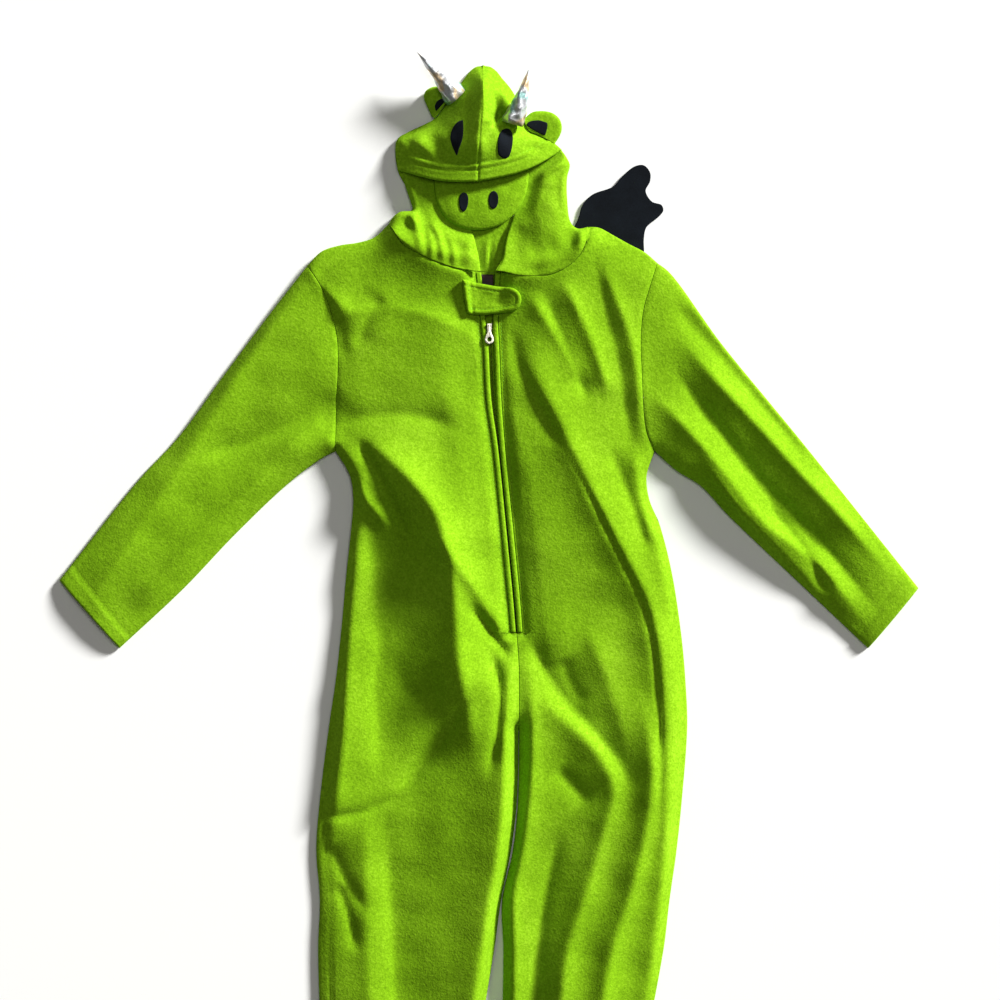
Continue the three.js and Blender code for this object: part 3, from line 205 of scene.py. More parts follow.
# Folds: name, reach to the right and to the left of its walked line, height (a trough is negative), the line
FOLDS = [
    ("collar_left_rise", 22, 9, 10, [(-150, 483), (-130, 467), (-111, 451), (-82, 430), (-43, 415), (23, 404)]),
    ("collar_right_rise", 20, 9, 9, [(-23, 420), (2, 416), (40, 411), (77, 423), (100, 449), (113, 493)]),
    ("chest_left_roll", 60, 9, 6, [(-202, 365), (-163, 371), (-113, 373), (-68, 361), (-11, 327)]),
    ("armhole_left_rim", 10, 9, 6, [(-231, 442), (-202, 401), (-168, 365)]),
    ("sleeve_cap_left_hollow", 13, 11, -5, [(-215, 429), (-195, 386), (-181, 352), (-176, 306)]),
    ("chest_left_dimple", 9, 10, -4, [(-132, 390), (-147, 367), (-163, 327)]),
    ("chest_left_trough", 12, 14, -6, [(-210, 244), (-159, 252), (-102, 255), (-32, 234)]),
    ("waist_left_first", 15, 9, 11, [(-200, 238), (-176, 197), (-151, 159), (-116, 120)]),
    ("waist_left_valley", 6, 6, -7, [(-163, 231), (-136, 184), (-102, 111)]),
    ("waist_left_drape", 36, 22, 24, [(-181, 245), (-125, 204), (-93, 172), (-70, 138), (-57, 91), (-50, 34),
                                      (-46, -23), (-36, -86), (-27, -153)]),
    ("waist_left_lee", 14, 60, -10, [(-152, 193), (-141, 113), (-135, 23), (-134, -68), (-136, -181)]),
    ("waist_left_branch", 8, 18, 8, [(-86, 145), (-54, 95), (-29, 59), (-7, 25), (20, -14)]),
    ("belly_left_swell", 50, 45, 4, [(-68, 306), (-43, 193), (-25, 91)]),
    ("side_left_band", 7, 16, 8, [(-161, 159), (-168, 91), (-174, 0), (-176, -91), (-184, -170), (-193, -261)]),
    ("hip_left_nick", 5, 5, -5, [(-39, 45), (-14, 14), (16, -27)]),
    ("crotch_left_groove", 6, 6, -8, [(-16, 0), (0, -51), (-2, -102), (-14, -159)]),
    ("inseam_left_ridge", 55, 9, 23, [(14, 25), (7, -57), (6, -147), (2, -215), (-6, -284), (-17, -352),
                                      (-27, -454), (-34, -544), (-41, -658)]),
    ("leg_left_diagonal", 16, 10, -9, [(-23, -36), (-54, -93), (-82, -132), (-127, -188)]),
    ("leg_left_hollow", 18, 18, -6, [(-147, -32), (-102, -59), (-59, -57)]),
    ("leg_left_crease", 6, 6, -5, [(-202, -200), (-159, -195), (-104, -170)]),
    ("leg_left_pinch", 6, 8, -3.5, [(-195, -227), (-175, -268), (-145, -315)]),
    ("leg_left_pinch_low", 5, 6, -4, [(-186, -272), (-172, -308), (-161, -358)]),
    ("leg_left_lower_ridge", 16, 16, 5, [(-150, -159), (-152, -249), (-150, -352), (-143, -476), (-138, -658)]),
    ("leg_left_lean", 12, 60, -8, [(-129, -170), (-122, -295), (-116, -408), (-111, -522), (-109, -658)]),
    ("armhole_right_rim", 12, 9, 5.5, [(111, 435), (130, 386), (145, 346), (154, 299), (159, 215)]),
    ("chest_right_valley", 12, 9, -3.5, [(100, 460), (118, 386), (132, 327), (145, 249), (152, 193)]),
    ("chest_right_second", 9, 9, 6, [(66, 415), (102, 340), (125, 272)]),
    ("chest_right_dip", 8, 8, -5, [(45, 404), (79, 318), (102, 268)]),
    ("chest_right_third", 8, 9, 6, [(27, 399), (68, 336), (93, 286)]),
    ("chest_right_streak", 10, 10, -7, [(7, 361), (25, 306), (50, 252), (75, 210)]),
    ("side_right_drape", 21, 25, 13, [(-16, 386), (7, 345), (32, 306), (58, 263), (82, 215), (102, 172),
                                      (122, 132), (145, 88), (167, 45), (179, 0), (186, -68), (189, -159),
                                      (185, -261), (176, -363), (164, -476), (152, -658)]),
    ("drape_undercut", 2.5, 2.5, -4, [(57, 249), (95, 177), (116, 134), (138, 90), (160, 44), (172, -2),
                                      (179, -73), (181, -159), (176, -272)]),
    ("zip_right_crest", 16, 44, 4.5, [(7, 284), (31, 193), (41, 113), (49, 45), (54, 0), (59, -68)]),
    ("underarm_right_valley", 8, 8, -4, [(122, 222), (143, 170), (172, 91)]),
    ("underarm_right_ridge", 8, 8, 4, [(147, 229), (163, 147), (171, 107)]),
    ("side_right_bulge", 8, 8, 5, [(168, 166), (186, 91), (194, 23)]),
    ("hip_right_trough", 9, 12, -7, [(29, 7), (51, -32), (68, -61), (113, -111), (159, -170)]),
    ("hip_right_ridge", 14, 20, 5, [(95, 23), (121, -45), (147, -134)]),
    ("leg_right_patch", 12, 9, -4, [(70, -17), (79, -45), (98, -77)]),
    ("leg_right_ridge", 20, 14, 11, [(27, -45), (64, -82), (111, -127), (127, -168), (116, -215), (100, -272),
                                     (75, -352), (64, -465), (57, -635)]),
    ("inseam_right_ridge", 9, 12, 9, [(29, 27), (35, -68), (35, -147), (26, -215), (15, -284), (14, -363),
                                      (14, -465), (16, -635)]),
    ("leg_right_inner_trough", 12, 9, -6, [(70, -211), (52, -284), (43, -352), (34, -499)]),
    ("leg_right_outer_ridge", 24, 13, 14, [(152, -41), (169, -125), (168, -181), (150, -272), (125, -352),
                                           (110, -454), (100, -635)]),
    ("leg_right_dimple", 9, 9, -5, [(61, -143), (83, -164), (104, -184)]),
    ("sleeve_left_trough", 13, 12, -6, [(-170, 281), (-206, 259), (-244, 240), (-295, 221), (-363, 204)]),
    ("sleeve_left_ridge", 20, 18, 6, [(-209, 420), (-278, 329), (-352, 210), (-420, 108), (-476, 23)]),
    ("sleeve_left_low_roll", 14, 14, 6, [(-193, 259), (-261, 193), (-340, 113), (-420, 34)]),
    ("sleeve_right_groove", 8, 8, -7, [(188, 388), (231, 346), (272, 304), (312, 254), (352, 204)]),
    ("sleeve_right_ridge", 13, 10, 10, [(195, 349), (247, 290), (297, 236), (335, 193), (380, 145), (454, 59)]),
    ("sleeve_right_valley", 10, 10, -8, [(184, 322), (234, 256), (272, 206), (308, 163), (370, 102),
                                         (442, 14)]),
    ("sleeve_right_second", 15, 11, 10, [(159, 290), (215, 234), (254, 188), (297, 134), (361, 84), (422, 5)]),
    ("sleeve_right_third", 10, 9, 7, [(220, 218), (278, 136), (329, 79), (367, 27)]),
    ("sleeve_right_nick", 8, 8, -6, [(297, 161), (349, 95), (374, 45)]),
]
# Folds of the hood: name, half width, height, the line
HOOD_FOLDS = [
    ("centre_ridge", 11, 6, [(-24, 530), (-20, 600), (-19, 640)]),
    ("deep_crease", 4.5, -13, [(6, 601), (-0.4, 593.5), (-6, 583)]),
    ("crease_above", 4, -4, [(-9, 622), (-5, 606), (-1, 596)]),
    ("right_roll", 8, 5, [(12, 618), (13, 602), (24, 585)]),
    ("brow_lump", 5, 3, [(-13, 586), (-12, 580)]),
    ("left_hollow", 12, -5, [(-86, 575), (-70, 555), (-66, 540)]),
    ("left_corner_crease", 4.5, -4, [(-106, 563), (-92, 551), (-76, 541)]),
    ("left_cheek", 10, 3, [(-82, 582), (-92, 566), (-104, 556)]),
    ("right_hollow", 10, -4, [(52, 562), (36, 552)]),
    ("right_corner_crease", 4.5, -4, [(62, 556), (48, 552), (30, 556)]),
    ("right_cheek", 7, 4, [(28, 572), (44, 566), (58, 560)]),
    ("brow_dent", 7, -3, [(-6, 588), (-14, 575), (-14, 560)]),
]
FLAP_FOLDS = [
    ("gather_1", 3.8, 4.2, [(-98, 482), (-92, 462), (-89, 440)]),
    ("gather_2", 3.3, 3.2, [(-81, 462), (-77, 446), (-77, 430)]),
    ("gather_3", 4.2, 4.2, [(-76, 472), (-67, 450), (-63, 426)]),
    ("gather_4", 3.4, 2.8, [(-56, 452), (-52, 438), (-51, 422)]),
    ("gather_5", 8, 3.5, [(-44, 472), (-36, 448), (-34, 420)]),
    ("left_neck_roll", 6, 7, [(-121, 472), (-113, 480), (-102, 481), (-97, 472), (-95, 458)]),
    ("left_edge_roll", 5, 4, [(-108, 528), (-101, 508), (-96, 488)]),
    ("left_dip", 12, -3, [(-84, 500), (-80, 470)]),
    ("right_neck_roll", 5, 6, [(86, 470), (91, 460), (88, 446)]),
    ("right_edge_roll", 6, 4, [(76, 534), (73, 508), (76, 480)]),
    ("right_swell", 18, 4, [(54, 510), (58, 440)]),
    ("right_dip", 12, -3, [(24, 470), (18, 440)]),
    ("pocket_rim", 4, 5, [(46, 526), (62, 535), (75, 545)]),
    ("left_neck_swell", 10, 7, [(-124, 464), (-86, 446), (-50, 434), (-26, 430)]),
    ("right_neck_swell", 10, 6, [(10, 426), (50, 428), (84, 440), (98, 462)]),
]
HOOD_BACK_FOLDS = [
    ("middle_seam", 1.3, -1.4, [(-7, 466), (-11, 439), (-12, 420)]),
    ("left_of_seam", 4, 1.8, [(-13, 460), (-15.5, 436), (-16, 422)]),
    ("inner_fold", 3, 2, [(-1, 464), (-5, 440), (-7, 422)]),
    ("inner_valley", 1.6, -1.4, [(4, 463), (-2, 437), (-4, 420)]),
]


def size(name):
    """A size of the suit, in millimetres."""
    return getattr(bpy.context.scene.costume_sizes, name) / MM


# Curves and surfaces

CURVE_STEPS = 8


def ramp(value, start, end):
    """0 before the start, 1 after the end, with a straight line between them."""
    return np.clip((value - start) / (end - start), 0.0, 1.0)


def smooth(value, start, end):
    """0 before the start, 1 after the end, with an even curve between them."""
    t = ramp(value, start, end)
    return t * t * (3 - 2 * t)


def mix(a, b, t):
    """The value at the share t of the way from a to b."""
    return a + (b - a) * t


def hermite(a, b, leave, arrive, t):
    """Smooth curve from a to b with the given slopes at both ends."""
    return ((2 * t**3 - 3 * t**2 + 1) * a + (t**3 - 2 * t**2 + t) * leave
            + (3 * t**2 - 2 * t**3) * b + (t**3 - t**2) * arrive)


def column_at(table, column, y):
    """A column's value at y, on a smooth curve through the table's rows."""
    ys, values = table["y"], table[column]
    y = np.asarray(y, float)
    i = np.clip(np.searchsorted(ys, y, side="left") - 1, 0, len(ys) - 2)
    before = np.maximum(i - 1, 0)
    after = np.minimum(i + 2, len(ys) - 1)
    span = ys[i + 1] - ys[i]
    leave = (values[i + 1] - values[before]) / (ys[i + 1] - ys[before]) * span
    arrive = (values[after] - values[i]) / (ys[after] - ys[i]) * span
    return hermite(values[i], values[i + 1], leave, arrive, np.clip((y - ys[i]) / span, 0, 1))


def smooth_line(points, closed=False):
    """Fine chain of points on the smooth curve through a few of them."""
    p = np.asarray(points, float)
    if closed:
        p = np.vstack([p[-1], p, p[0], p[1]])
    else:
        p = np.vstack([2 * p[0] - p[1], p, 2 * p[-1] - p[-2]])
    gap = np.linalg.norm(np.diff(p, axis=0), axis=1) ** 0.5
    t = np.linspace(0, 1, CURVE_STEPS, endpoint=False)[:, None]
    pieces = []
    for i in range(1, len(p) - 2):
        a, b, c, d = p[i - 1:i + 3]
        before, here, after = gap[i - 1:i + 2]
        leave = ((b - a) / before - (c - a) / (before + here) + (c - b) / here) * here
        arrive = ((c - b) / here - (d - b) / (here + after) + (d - c) / after) * here
        pieces.append(hermite(b, c, leave, arrive, t))
    return np.vstack(pieces if closed else [*pieces, p[-2]])


def along(chain, share):
    """Points at shares of a chain's length."""
    chain = np.asarray(chain, float)
    reach = np.concatenate([[0], np.cumsum(np.linalg.norm(np.diff(chain, axis=0), axis=1))])
    at = np.asarray(share) * reach[-1]
    return np.stack([np.interp(at, reach, chain[:, k]) for k in range(chain.shape[1])], axis=-1)


def moved_aside(chain, distance):
    """A chain moved sideways, to the left of its own direction when the distance is positive."""
    chain = np.asarray(chain, float)
    step = np.gradient(chain, axis=0)
    step /= np.linalg.norm(step, axis=1)[:, None]
    return chain + np.stack([-step[:, 1], step[:, 0]], axis=1) * distance


def nearest(chain, x, y):
    """Distance from points to a chain, and the share of its stretches at the nearest place."""
    chain = np.asarray(chain, float)
    best = np.full(np.shape(x), np.inf)
    share = np.zeros(np.shape(x))
    for i in range(len(chain) - 1):
        ax, ay = chain[i]
        ux, uy = chain[i + 1] - chain[i]
        t = np.clip(((x - ax) * ux + (y - ay) * uy) / (ux * ux + uy * uy), 0, 1)
        distance = np.hypot(x - ax - t * ux, y - ay - t * uy)
        closer = distance < best
        best = np.where(closer, distance, best)
        share = np.where(closer, (i + t) / (len(chain) - 1), share)
    return best, share


def distance_to(chains, x, y):
    """Distance to the nearest of several chains."""
    return np.min([nearest(chain, x, y)[0] for chain in chains], axis=0)


def inside(outline, x, y):
    """Whether points lie inside a closed outline."""
    result = np.zeros(np.shape(x), bool)
    for (ax, ay), (bx, by) in zip(outline, np.roll(outline, 1, axis=0)):
        crosses = (ay > y) != (by > y)
        with np.errstate(divide="ignore", invalid="ignore"):
            result ^= crosses & (x < (bx - ax) * (y - ay) / (by - ay) + ax)
    return result


def fold_height(table, x, y):
    """Sum of the soft ridges and troughs."""
    total = np.zeros(np.shape(x))
    for _name, width, height, path in table:
        distance, share = nearest(smooth_line(path), x, y)
        taper = np.sin(np.pi * (0.07 + 0.86 * share)) ** 0.8
        total += height * taper * np.exp(-((distance / width) ** 2))
    return total


def drape_height(table, x, y):
    """Sum of the drapes: each has a narrow crest, and its two sides reach unequally far."""
    total = np.zeros(np.shape(x))
    for _name, right_reach, left_reach, height, path in table:
        line = smooth_line(path)
        distance, share = nearest(line, x, y)
        at = share * (len(line) - 1)
        start = np.minimum(at.astype(int), len(line) - 2)
        step = line[start + 1] - line[start]
        side = step[..., 0] * (y - line[start][..., 1]) - step[..., 1] * (x - line[start][..., 0])
        reach = np.where(side > 0, left_reach, right_reach)
        crest = 0.35 * min(right_reach, left_reach, 14)
        taper = smooth(share, 0, 0.22) * (1 - smooth(share, 0.78, 1))
        total += height * taper * np.exp((crest - np.hypot(distance, crest)) / reach)
    return total


def wander(x, y, swell, seed):
    """Unevenness of soft cloth, about 1 high, in swells of roughly the given size."""
    random = np.random.default_rng(seed)
    total = np.zeros(np.shape(x))
    waves = 16
    for _ in range(waves):
        angle = random.uniform(0, math.pi)
        length = swell * random.uniform(0.7, 1.7)
        phase = random.uniform(0, 2 * math.pi)
        total += np.sin((x * math.cos(angle) + y * math.sin(angle)) * 2 * math.pi / length + phase)
    return total / math.sqrt(waves)


def rolled(distance, radius):
    """How far a rounded edge has dropped at a distance from it."""
    near = 1 - np.minimum(distance, radius) / radius
    return radius * (1 - np.sqrt(1 - near * near))


def sewn(distance):
    """How far the cloth drops towards a seam: a soft valley with a small rounded edge in it."""
    return rolled(distance, 0.7) + 0.8 * np.exp(-((distance / 3) ** 2))


def zip_middle(y):
    """Place of the zip's middle across the suit."""
    return column_at(ZIP, "x", y)


def zip_slit(y):
    """Half the width of the slit between the welts."""
    return column_at(ZIP, "slit", y)


def welt_outer(y):
    """Distance of a welt's outer edge from the zip's middle."""
    return zip_slit(y) + size("welt_width")


def lift(x, y):
    """Height of the cloth's underside over the floor, where it lies on the wings."""
    over_wings = size("felt") + size("seam")
    across = 1 - ramp(np.abs(x), 205, 285)
    return over_wings * across * ramp(y, 45, 110) * (1 - ramp(y, 480, 540))


def back_top(x, y):
    """Upper side of the back."""
    return lift(x, y) + size("fleece")


def trunk_line(column, low=HEM_Y, high=ARMPIT_Y):
    """A side seam as a chain of points."""
    ys = np.linspace(low, high, 60)
    return np.stack([column_at(TRUNK, column, ys), ys], axis=1)


def outer_edges():
    """Lines along which the front and the back are sewn to each other."""
    legs = [trunk_line(column, high=CROTCH_Y) for column in ("left_inner", "right_inner")]
    sides = [trunk_line(column) for column in ("left_outer", "right_outer")]
    seams = [smooth_line(table[side]) for table in (SHOULDER, SLEEVE_UPPER, SLEEVE_LOWER)
             for side in SIDES]
    return legs + sides + seams


def cloth_top(x, y):
    """Outer surface of the fronts and the sleeves, with every fold."""
    edge = distance_to(outer_edges(), x, y)
    from_zip = np.hypot(np.maximum(0, np.abs(x - zip_middle(y)) - welt_outer(y)), np.maximum(0, ZIP_END_Y - y))
    air = 3.4 + 3 * smooth(from_zip, 6, 50)
    puff = air * (1 - np.exp(-edge / 17))
    calm = smooth(from_zip, 0, 14) * (1 - np.exp(-((edge / 8) ** 2)))
    uneven = 0.5 * wander(x, y, 52, 3) + 0.06 * wander(x, y, 17, 8)
    folds = bpy.context.scene.costume_sizes.folds * drape_height(FOLDS, x, y)
    height = puff + (folds + uneven) * calm
    above = 0.8 * np.logaddexp(0, height / 0.8)
    return back_top(x, y) + size("seam") + size("fleece") + above


def hem_rise(distance):
    """How far a turned hem stands out, with the groove of its sewing."""
    return 0.9 * (1 - smooth(distance, 20, 23)) - 0.9 * np.exp(-(((distance - HEM_SEWING) / 1.3) ** 2))


def pressed(chain, x, y, half_width, depth):
    """Depth of the groove that a row of sewing pulls into the pile."""
    return depth * np.exp(-((nearest(chain, x, y)[0] / half_width) ** 2))


# Meshes

def placed(name, data):
    """An object with that mesh, light or curve, in the scene."""
    item = bpy.data.objects.new(name, data)
    bpy.context.scene.collection.objects.link(item)
    return item


def closed_chain(outline):
    """The chain round an outline, back to its first point."""
    return np.vstack([outline, outline[:1]])


def outline_area(outline):
    """Area inside a closed outline."""
    x, y = outline.T
    return abs(np.dot(x, np.roll(y, 1)) - np.dot(y, np.roll(x, 1))) / 2


def cut_of_outline(outline):
    """Width, length and area of a piece cut to a flat outline, in metres."""
    width, length = np.ptp(outline, axis=0) * MM
    return [float(width), float(length), float(outline_area(outline)) * MM * MM]


def link_mesh(name, vertices, faces, material):
    """A smooth-shaded object from points in millimetres, its faces pointing out."""
    vertices = np.asarray(vertices, float) * MM
    first = vertices[[face[0] for face in faces]]
    second = vertices[[face[1] for face in faces]]
    third = vertices[[face[2] for face in faces]]
    fourth = vertices[[face[-1] for face in faces]]
    volume = np.einsum("ij,ij->", first, np.cross(second, third) + np.cross(third, fourth))
    if volume < 0:
        faces = [face[::-1] for face in faces]
    mesh = bpy.data.meshes.new(name)
    mesh.from_pydata(vertices.tolist(), [], faces)
    mesh.shade_smooth()
    mesh.materials.append(material)
    mesh.validate()
    return placed(name, mesh)


def grid_quads(index):
    """Faces of a grid of point numbers."""
    return np.stack([index[:-1, :-1], index[:-1, 1:], index[1:, 1:], index[1:, :-1]], axis=-1).reshape(-1, 4)


def border_quads(border, count):
    """Faces that join the border of an upper surface to the lower one, which is count points further on."""
    after = np.roll(border, -1)
    return np.stack([border, border + count, after + count, after], axis=-1)


def grid_wall(name, plan, top, bottom, material):
    """Closed wall of cloth over a grid of points, each row from left to right."""
    rows, columns = plan.shape[:2]
    count = rows * columns
    index = np.arange(count).reshape(rows, columns)
    border = np.concatenate([index[0, :-1], index[:-1, -1], index[-1, :0:-1], index[:0:-1, 0]])
    upper = grid_quads(index)
    faces = np.concatenate([upper, upper[:, ::-1] + count, border_quads(border, count)])
    vertices = np.concatenate([np.dstack([plan, top]).reshape(-1, 3), np.dstack([plan, bottom]).reshape(-1, 3)])
    piece = link_mesh(name, vertices, faces.tolist(), material)
    piece["cut"] = cut_of_grid(np.dstack([plan, (top + bottom) / 2]))
    return piece


def cut_of_grid(surface):
    """Width, length and area of a curved grid laid flat, in metres."""
    across = np.linalg.norm(np.diff(surface, axis=1), axis=2).sum(axis=1).max()
    length = np.linalg.norm(np.diff(surface, axis=0), axis=2).sum(axis=0).max()
    one, two = surface[1:, 1:] - surface[:-1, :-1], surface[1:, :-1] - surface[:-1, 1:]
    area = np.linalg.norm(np.cross(one, two), axis=2).sum() / 2
    return [float(across) * MM, float(length) * MM, float(area) * MM * MM]


def disc_plan(outline, reaches):
    """Rings that shrink an outline to its middle, the outline last."""
    middle = outline.mean(axis=0)
    return np.stack([mix(middle, outline, reach) for reach in reaches]), middle


def disc_wall(name, rings, middle, top_at, bottom_at, material):
    """Closed wall over shrinking rings; the two functions give its heights."""
    ring_count, around = rings.shape[:2]
    points = np.vstack([rings.reshape(-1, 2), middle])
    count = len(points)
    index = np.arange(count - 1).reshape(ring_count, around)
    index = np.concatenate([index, index[:, :1]], axis=1)
    quads = grid_quads(index)[:, ::-1]
    fan = [[count - 1, index[0, j], index[0, j + 1]] for j in range(around)]
    faces = quads.tolist() + fan + [[c + count for c in face[::-1]] for face in quads.tolist() + fan]
    faces += border_quads(index[-1, :-1], count).tolist()
    x, y = points.T
    vertices = np.vstack([np.c_[points, top_at(x, y)], np.c_[points, bottom_at(x, y)]])
    piece = link_mesh(name, vertices, faces, material)
    piece["cut"] = cut_of_outline(rings[-1])
    return piece


def tube_wall(name, outer, inner, material):
    """Closed wall through outer and inner rings, open at both ends."""
    stations, around = outer.shape[:2]
    count = stations * around
    index = np.arange(count).reshape(stations, around)
    index = np.concatenate([index, index[:, :1]], axis=1)
    skin = grid_quads(index)
    start, end = index[0, :-1], index[-1, :-1]
    faces = np.concatenate([skin, skin[:, ::-1] + count, border_quads(start, count),
                            border_quads(end, count)[:, ::-1]])
    vertices = np.concatenate([outer.reshape(-1, 3), inner.reshape(-1, 3)])
    piece = link_mesh(name, vertices, faces.tolist(), material)
    closed = np.concatenate([outer, outer[:, :1]], axis=1)
    piece["cut"] = cut_of_grid(closed)
    return piece


def joined(name, parts):
    """One object from several, which keep their places."""
    with bpy.context.temp_override(active_object=parts[0], selected_editable_objects=parts):
        bpy.ops.object.join()
    parts[0].name = parts[0].data.name = name
    return parts[0]


def joined_halves(name, halves):
    """One piece from a left and a right half that are cut in one."""
    (width, length, area), (other_width, other_length, other_area) = [list(half["cut"]) for half in halves]
    piece = joined(name, halves)
    piece["cut"] = [width + other_width, max(length, other_length), area + other_area]
    return piece


def dress(piece, slot, *nodes, body="suit"):
    """The piece rides on its body and hides the solids that it stands for; the slot is not used."""
    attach(piece, body)
    if nodes:
        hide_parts(*nodes)
    return piece


def lay(piece):
    """Reads the width, length and area that a piece of cloth was cut to, and does nothing more with them."""
    width, length, area = piece["cut"]


def stitches(name, chain, height_at, material, length=2.8, gap=1.2, thick=0.5):
    """A row of thread stitches along a chain, each a short rounded bar sunk in the pile."""
    chain = np.asarray(chain, float)
    whole = np.linalg.norm(np.diff(chain, axis=0), axis=1).sum()
    count = max(1, int(whole / (length + gap)))
    start = (np.arange(count) + 0.2) / count
    end = start + length / (length + gap) / count
    rings = np.array([0.0, 0.15, 0.5, 0.85, 1.0])
    swell = (np.array([0.35, 0.8, 1.0, 0.8, 0.35]) * thick / 2)[:, None]
    places = along(chain, mix(start[:, None], np.minimum(end, 1)[:, None], rings))
    heading = places[:, -1:] - places[:, :1]
    heading /= np.linalg.norm(heading, axis=2, keepdims=True)
    aside = np.stack([-heading[..., 1], heading[..., 0]], axis=-1)[:, :, None]
    height = height_at(places[..., 0], places[..., 1]) + thick * 0.2 * np.sin(np.pi * rings)
    angle = np.arange(6) * math.pi / 3
    plan = places[:, :, None] + aside * (swell * np.cos(angle))[None, ..., None]
    return bars(name, np.concatenate([plan, (height[..., None] + swell * np.sin(angle))[..., None]], axis=-1),
                material)


def bars(name, points, material):
    """Many closed bars in one mesh, each through its own rings of points."""
    count, rings, sides = points.shape[:3]
    index = np.arange(count * rings * sides).reshape(count, rings, sides)
    after = np.roll(index, -1, axis=2)
    skin = np.stack([index[:, :-1], after[:, :-1], after[:, 1:], index[:, 1:]], axis=-1).reshape(-1, 4)
    ends = index[:, 0, ::-1].tolist() + index[:, -1].tolist()
    return link_mesh(name, points.reshape(-1, 3), skin.tolist() + ends, material)


# Materials

def add_node(tree, kind, settings=None, inputs=None):
    """Adds a node, sets its settings and links or fills its inputs."""
    node = tree.nodes.new(kind)
    for key, value in (settings or {}).items():
        setattr(node, key, value)
    for key, value in (inputs or {}).items():
        if isinstance(value, bpy.types.NodeSocket):
            tree.links.new(value, node.inputs[key])
        else:
            node.inputs[key].default_value = value
    return node


def new_material(name):
    """A material with an empty node tree."""
    material = bpy.data.materials.new(name)
    material.use_nodes = True
    material.node_tree.nodes.clear()
    return material, material.node_tree


def per_metre(millimetres):
    """Scale of a pattern that repeats after so many millimetres."""
    return 1 / (millimetres * MM)


def set_stops(node, stops):
    """Fills a colour ramp with places and linear colours."""
    elements = node.color_ramp.elements
    while len(elements) < len(stops):
        elements.new(0.5)
    for element, (place, colour) in zip(elements, stops):
        element.position = place
        element.color = (*colour, 1)


def brushed_fleece():
    """Polyester fleece, knitted and brushed: clumped short pile that glows at its edges and never shines."""
    colours = bpy.context.scene.costume_colours
    material, tree = new_material("brushed_polyester_fleece")
    place = add_node(tree, "ShaderNodeTexCoord").outputs["Object"]
    # The pile stands in tufts of about 2 mm, and brushing lays it in patches a few centimetres wide
    tufts = add_node(tree, "ShaderNodeTexNoise", None, {
        "Vector": place, "Scale": per_metre(2.3), "Detail": 3.0, "Roughness": 0.6})
    clumps = add_node(tree, "ShaderNodeTexNoise", None, {
        "Vector": place, "Scale": per_metre(5), "Detail": 2.0, "Roughness": 0.5, "Distortion": 0.3})
    brushing = add_node(tree, "ShaderNodeTexNoise", None, {
        "Vector": place, "Scale": per_metre(90), "Detail": 1.0, "Roughness": 0.4})
    shade = add_node(tree, "ShaderNodeMath", {"operation": "MULTIPLY_ADD"}, {
        0: clumps.outputs["Fac"], 1: 0.25, 2: 0.0})
    shade = add_node(tree, "ShaderNodeMath", {"operation": "MULTIPLY_ADD"}, {
        0: tufts.outputs["Fac"], 1: 0.5, 2: shade.outputs[0]})
    shade = add_node(tree, "ShaderNodeMath", {"operation": "MULTIPLY_ADD"}, {
        0: brushing.outputs["Fac"], 1: 0.25, 2: shade.outputs[0]})
    # The colour follows the same noise as the bump. Low places between tufts and clumps get painted shade,
    # their raised tips get a painted highlight, and the brushing patches add random tone.
    ramp_node = add_node(tree, "ShaderNodeValToRGB", None, {"Fac": shade.outputs[0]})
    set_stops(ramp_node, [(0.3, colours.fleece_painted_shade), (0.5, colours.fleece), (0.7, colours.fleece_light)])
    coarse = add_node(tree, "ShaderNodeBump", None, {
        "Strength": 0.35, "Distance": 0.0008, "Height": clumps.outputs["Fac"]})
    fine = add_node(tree, "ShaderNodeBump", None, {
        "Strength": 0.55, "Distance": 0.0008, "Height": tufts.outputs["Fac"], "Normal": coarse.outputs[0]})
    shader = add_node(tree, "ShaderNodeBsdfPrincipled", None, {
        "Base Color": ramp_node.outputs["Color"], "Roughness": 0.95, "Specular IOR Level": 0.12,
        "Sheen Weight": 0.15, "Sheen Roughness": 0.5, "Sheen Tint": (*colours.fleece_light, 1),
        "Normal": fine.outputs[0]})
    add_node(tree, "ShaderNodeOutputMaterial", None, {"Surface": shader.outputs[0]})
    return material


def pressed_felt():
    """Pressed felt, dyed black: matted fibres with a faint cold sheen and no weave."""
    colours = bpy.context.scene.costume_colours
    material, tree = new_material("pressed_black_felt")
    place = add_node(tree, "ShaderNodeTexCoord").outputs["Object"]
    fibres = add_node(tree, "ShaderNodeTexNoise", None, {
        "Vector": place, "Scale": per_metre(1.8), "Detail": 5.0, "Roughness": 0.7, "Distortion": 1.2})
    cloudy = add_node(tree, "ShaderNodeTexNoise", None, {
        "Vector": place, "Scale": per_metre(22), "Detail": 3.0})
    shade = add_node(tree, "ShaderNodeMath", {"operation": "MULTIPLY_ADD"}, {
        0: fibres.outputs["Fac"], 1: 0.5, 2: 0.0})
    shade = add_node(tree, "ShaderNodeMath", {"operation": "MULTIPLY_ADD"}, {
        0: cloudy.outputs["Fac"], 1: 0.5, 2: shade.outputs[0]})
    ramp_node = add_node(tree, "ShaderNodeValToRGB", None, {"Fac": shade.outputs[0]})
    dark = colours.felt
    set_stops(ramp_node, [(0.35, tuple(0.6 * c for c in dark)), (0.65, tuple(1.7 * c for c in dark))])
    bump = add_node(tree, "ShaderNodeBump", None, {
        "Strength": 0.5, "Distance": 0.0005, "Height": fibres.outputs["Fac"]})
    shader = add_node(tree, "ShaderNodeBsdfPrincipled", None, {
        "Base Color": ramp_node.outputs["Color"], "Roughness": 0.9, "Specular IOR Level": 0.2,
        "Sheen Weight": 0.06, "Sheen Roughness": 0.5, "Sheen Tint": (0.6, 0.75, 1, 1),
        "Normal": bump.outputs[0]})
    add_node(tree, "ShaderNodeOutputMaterial", None, {"Surface": shader.outputs[0]})
    return material


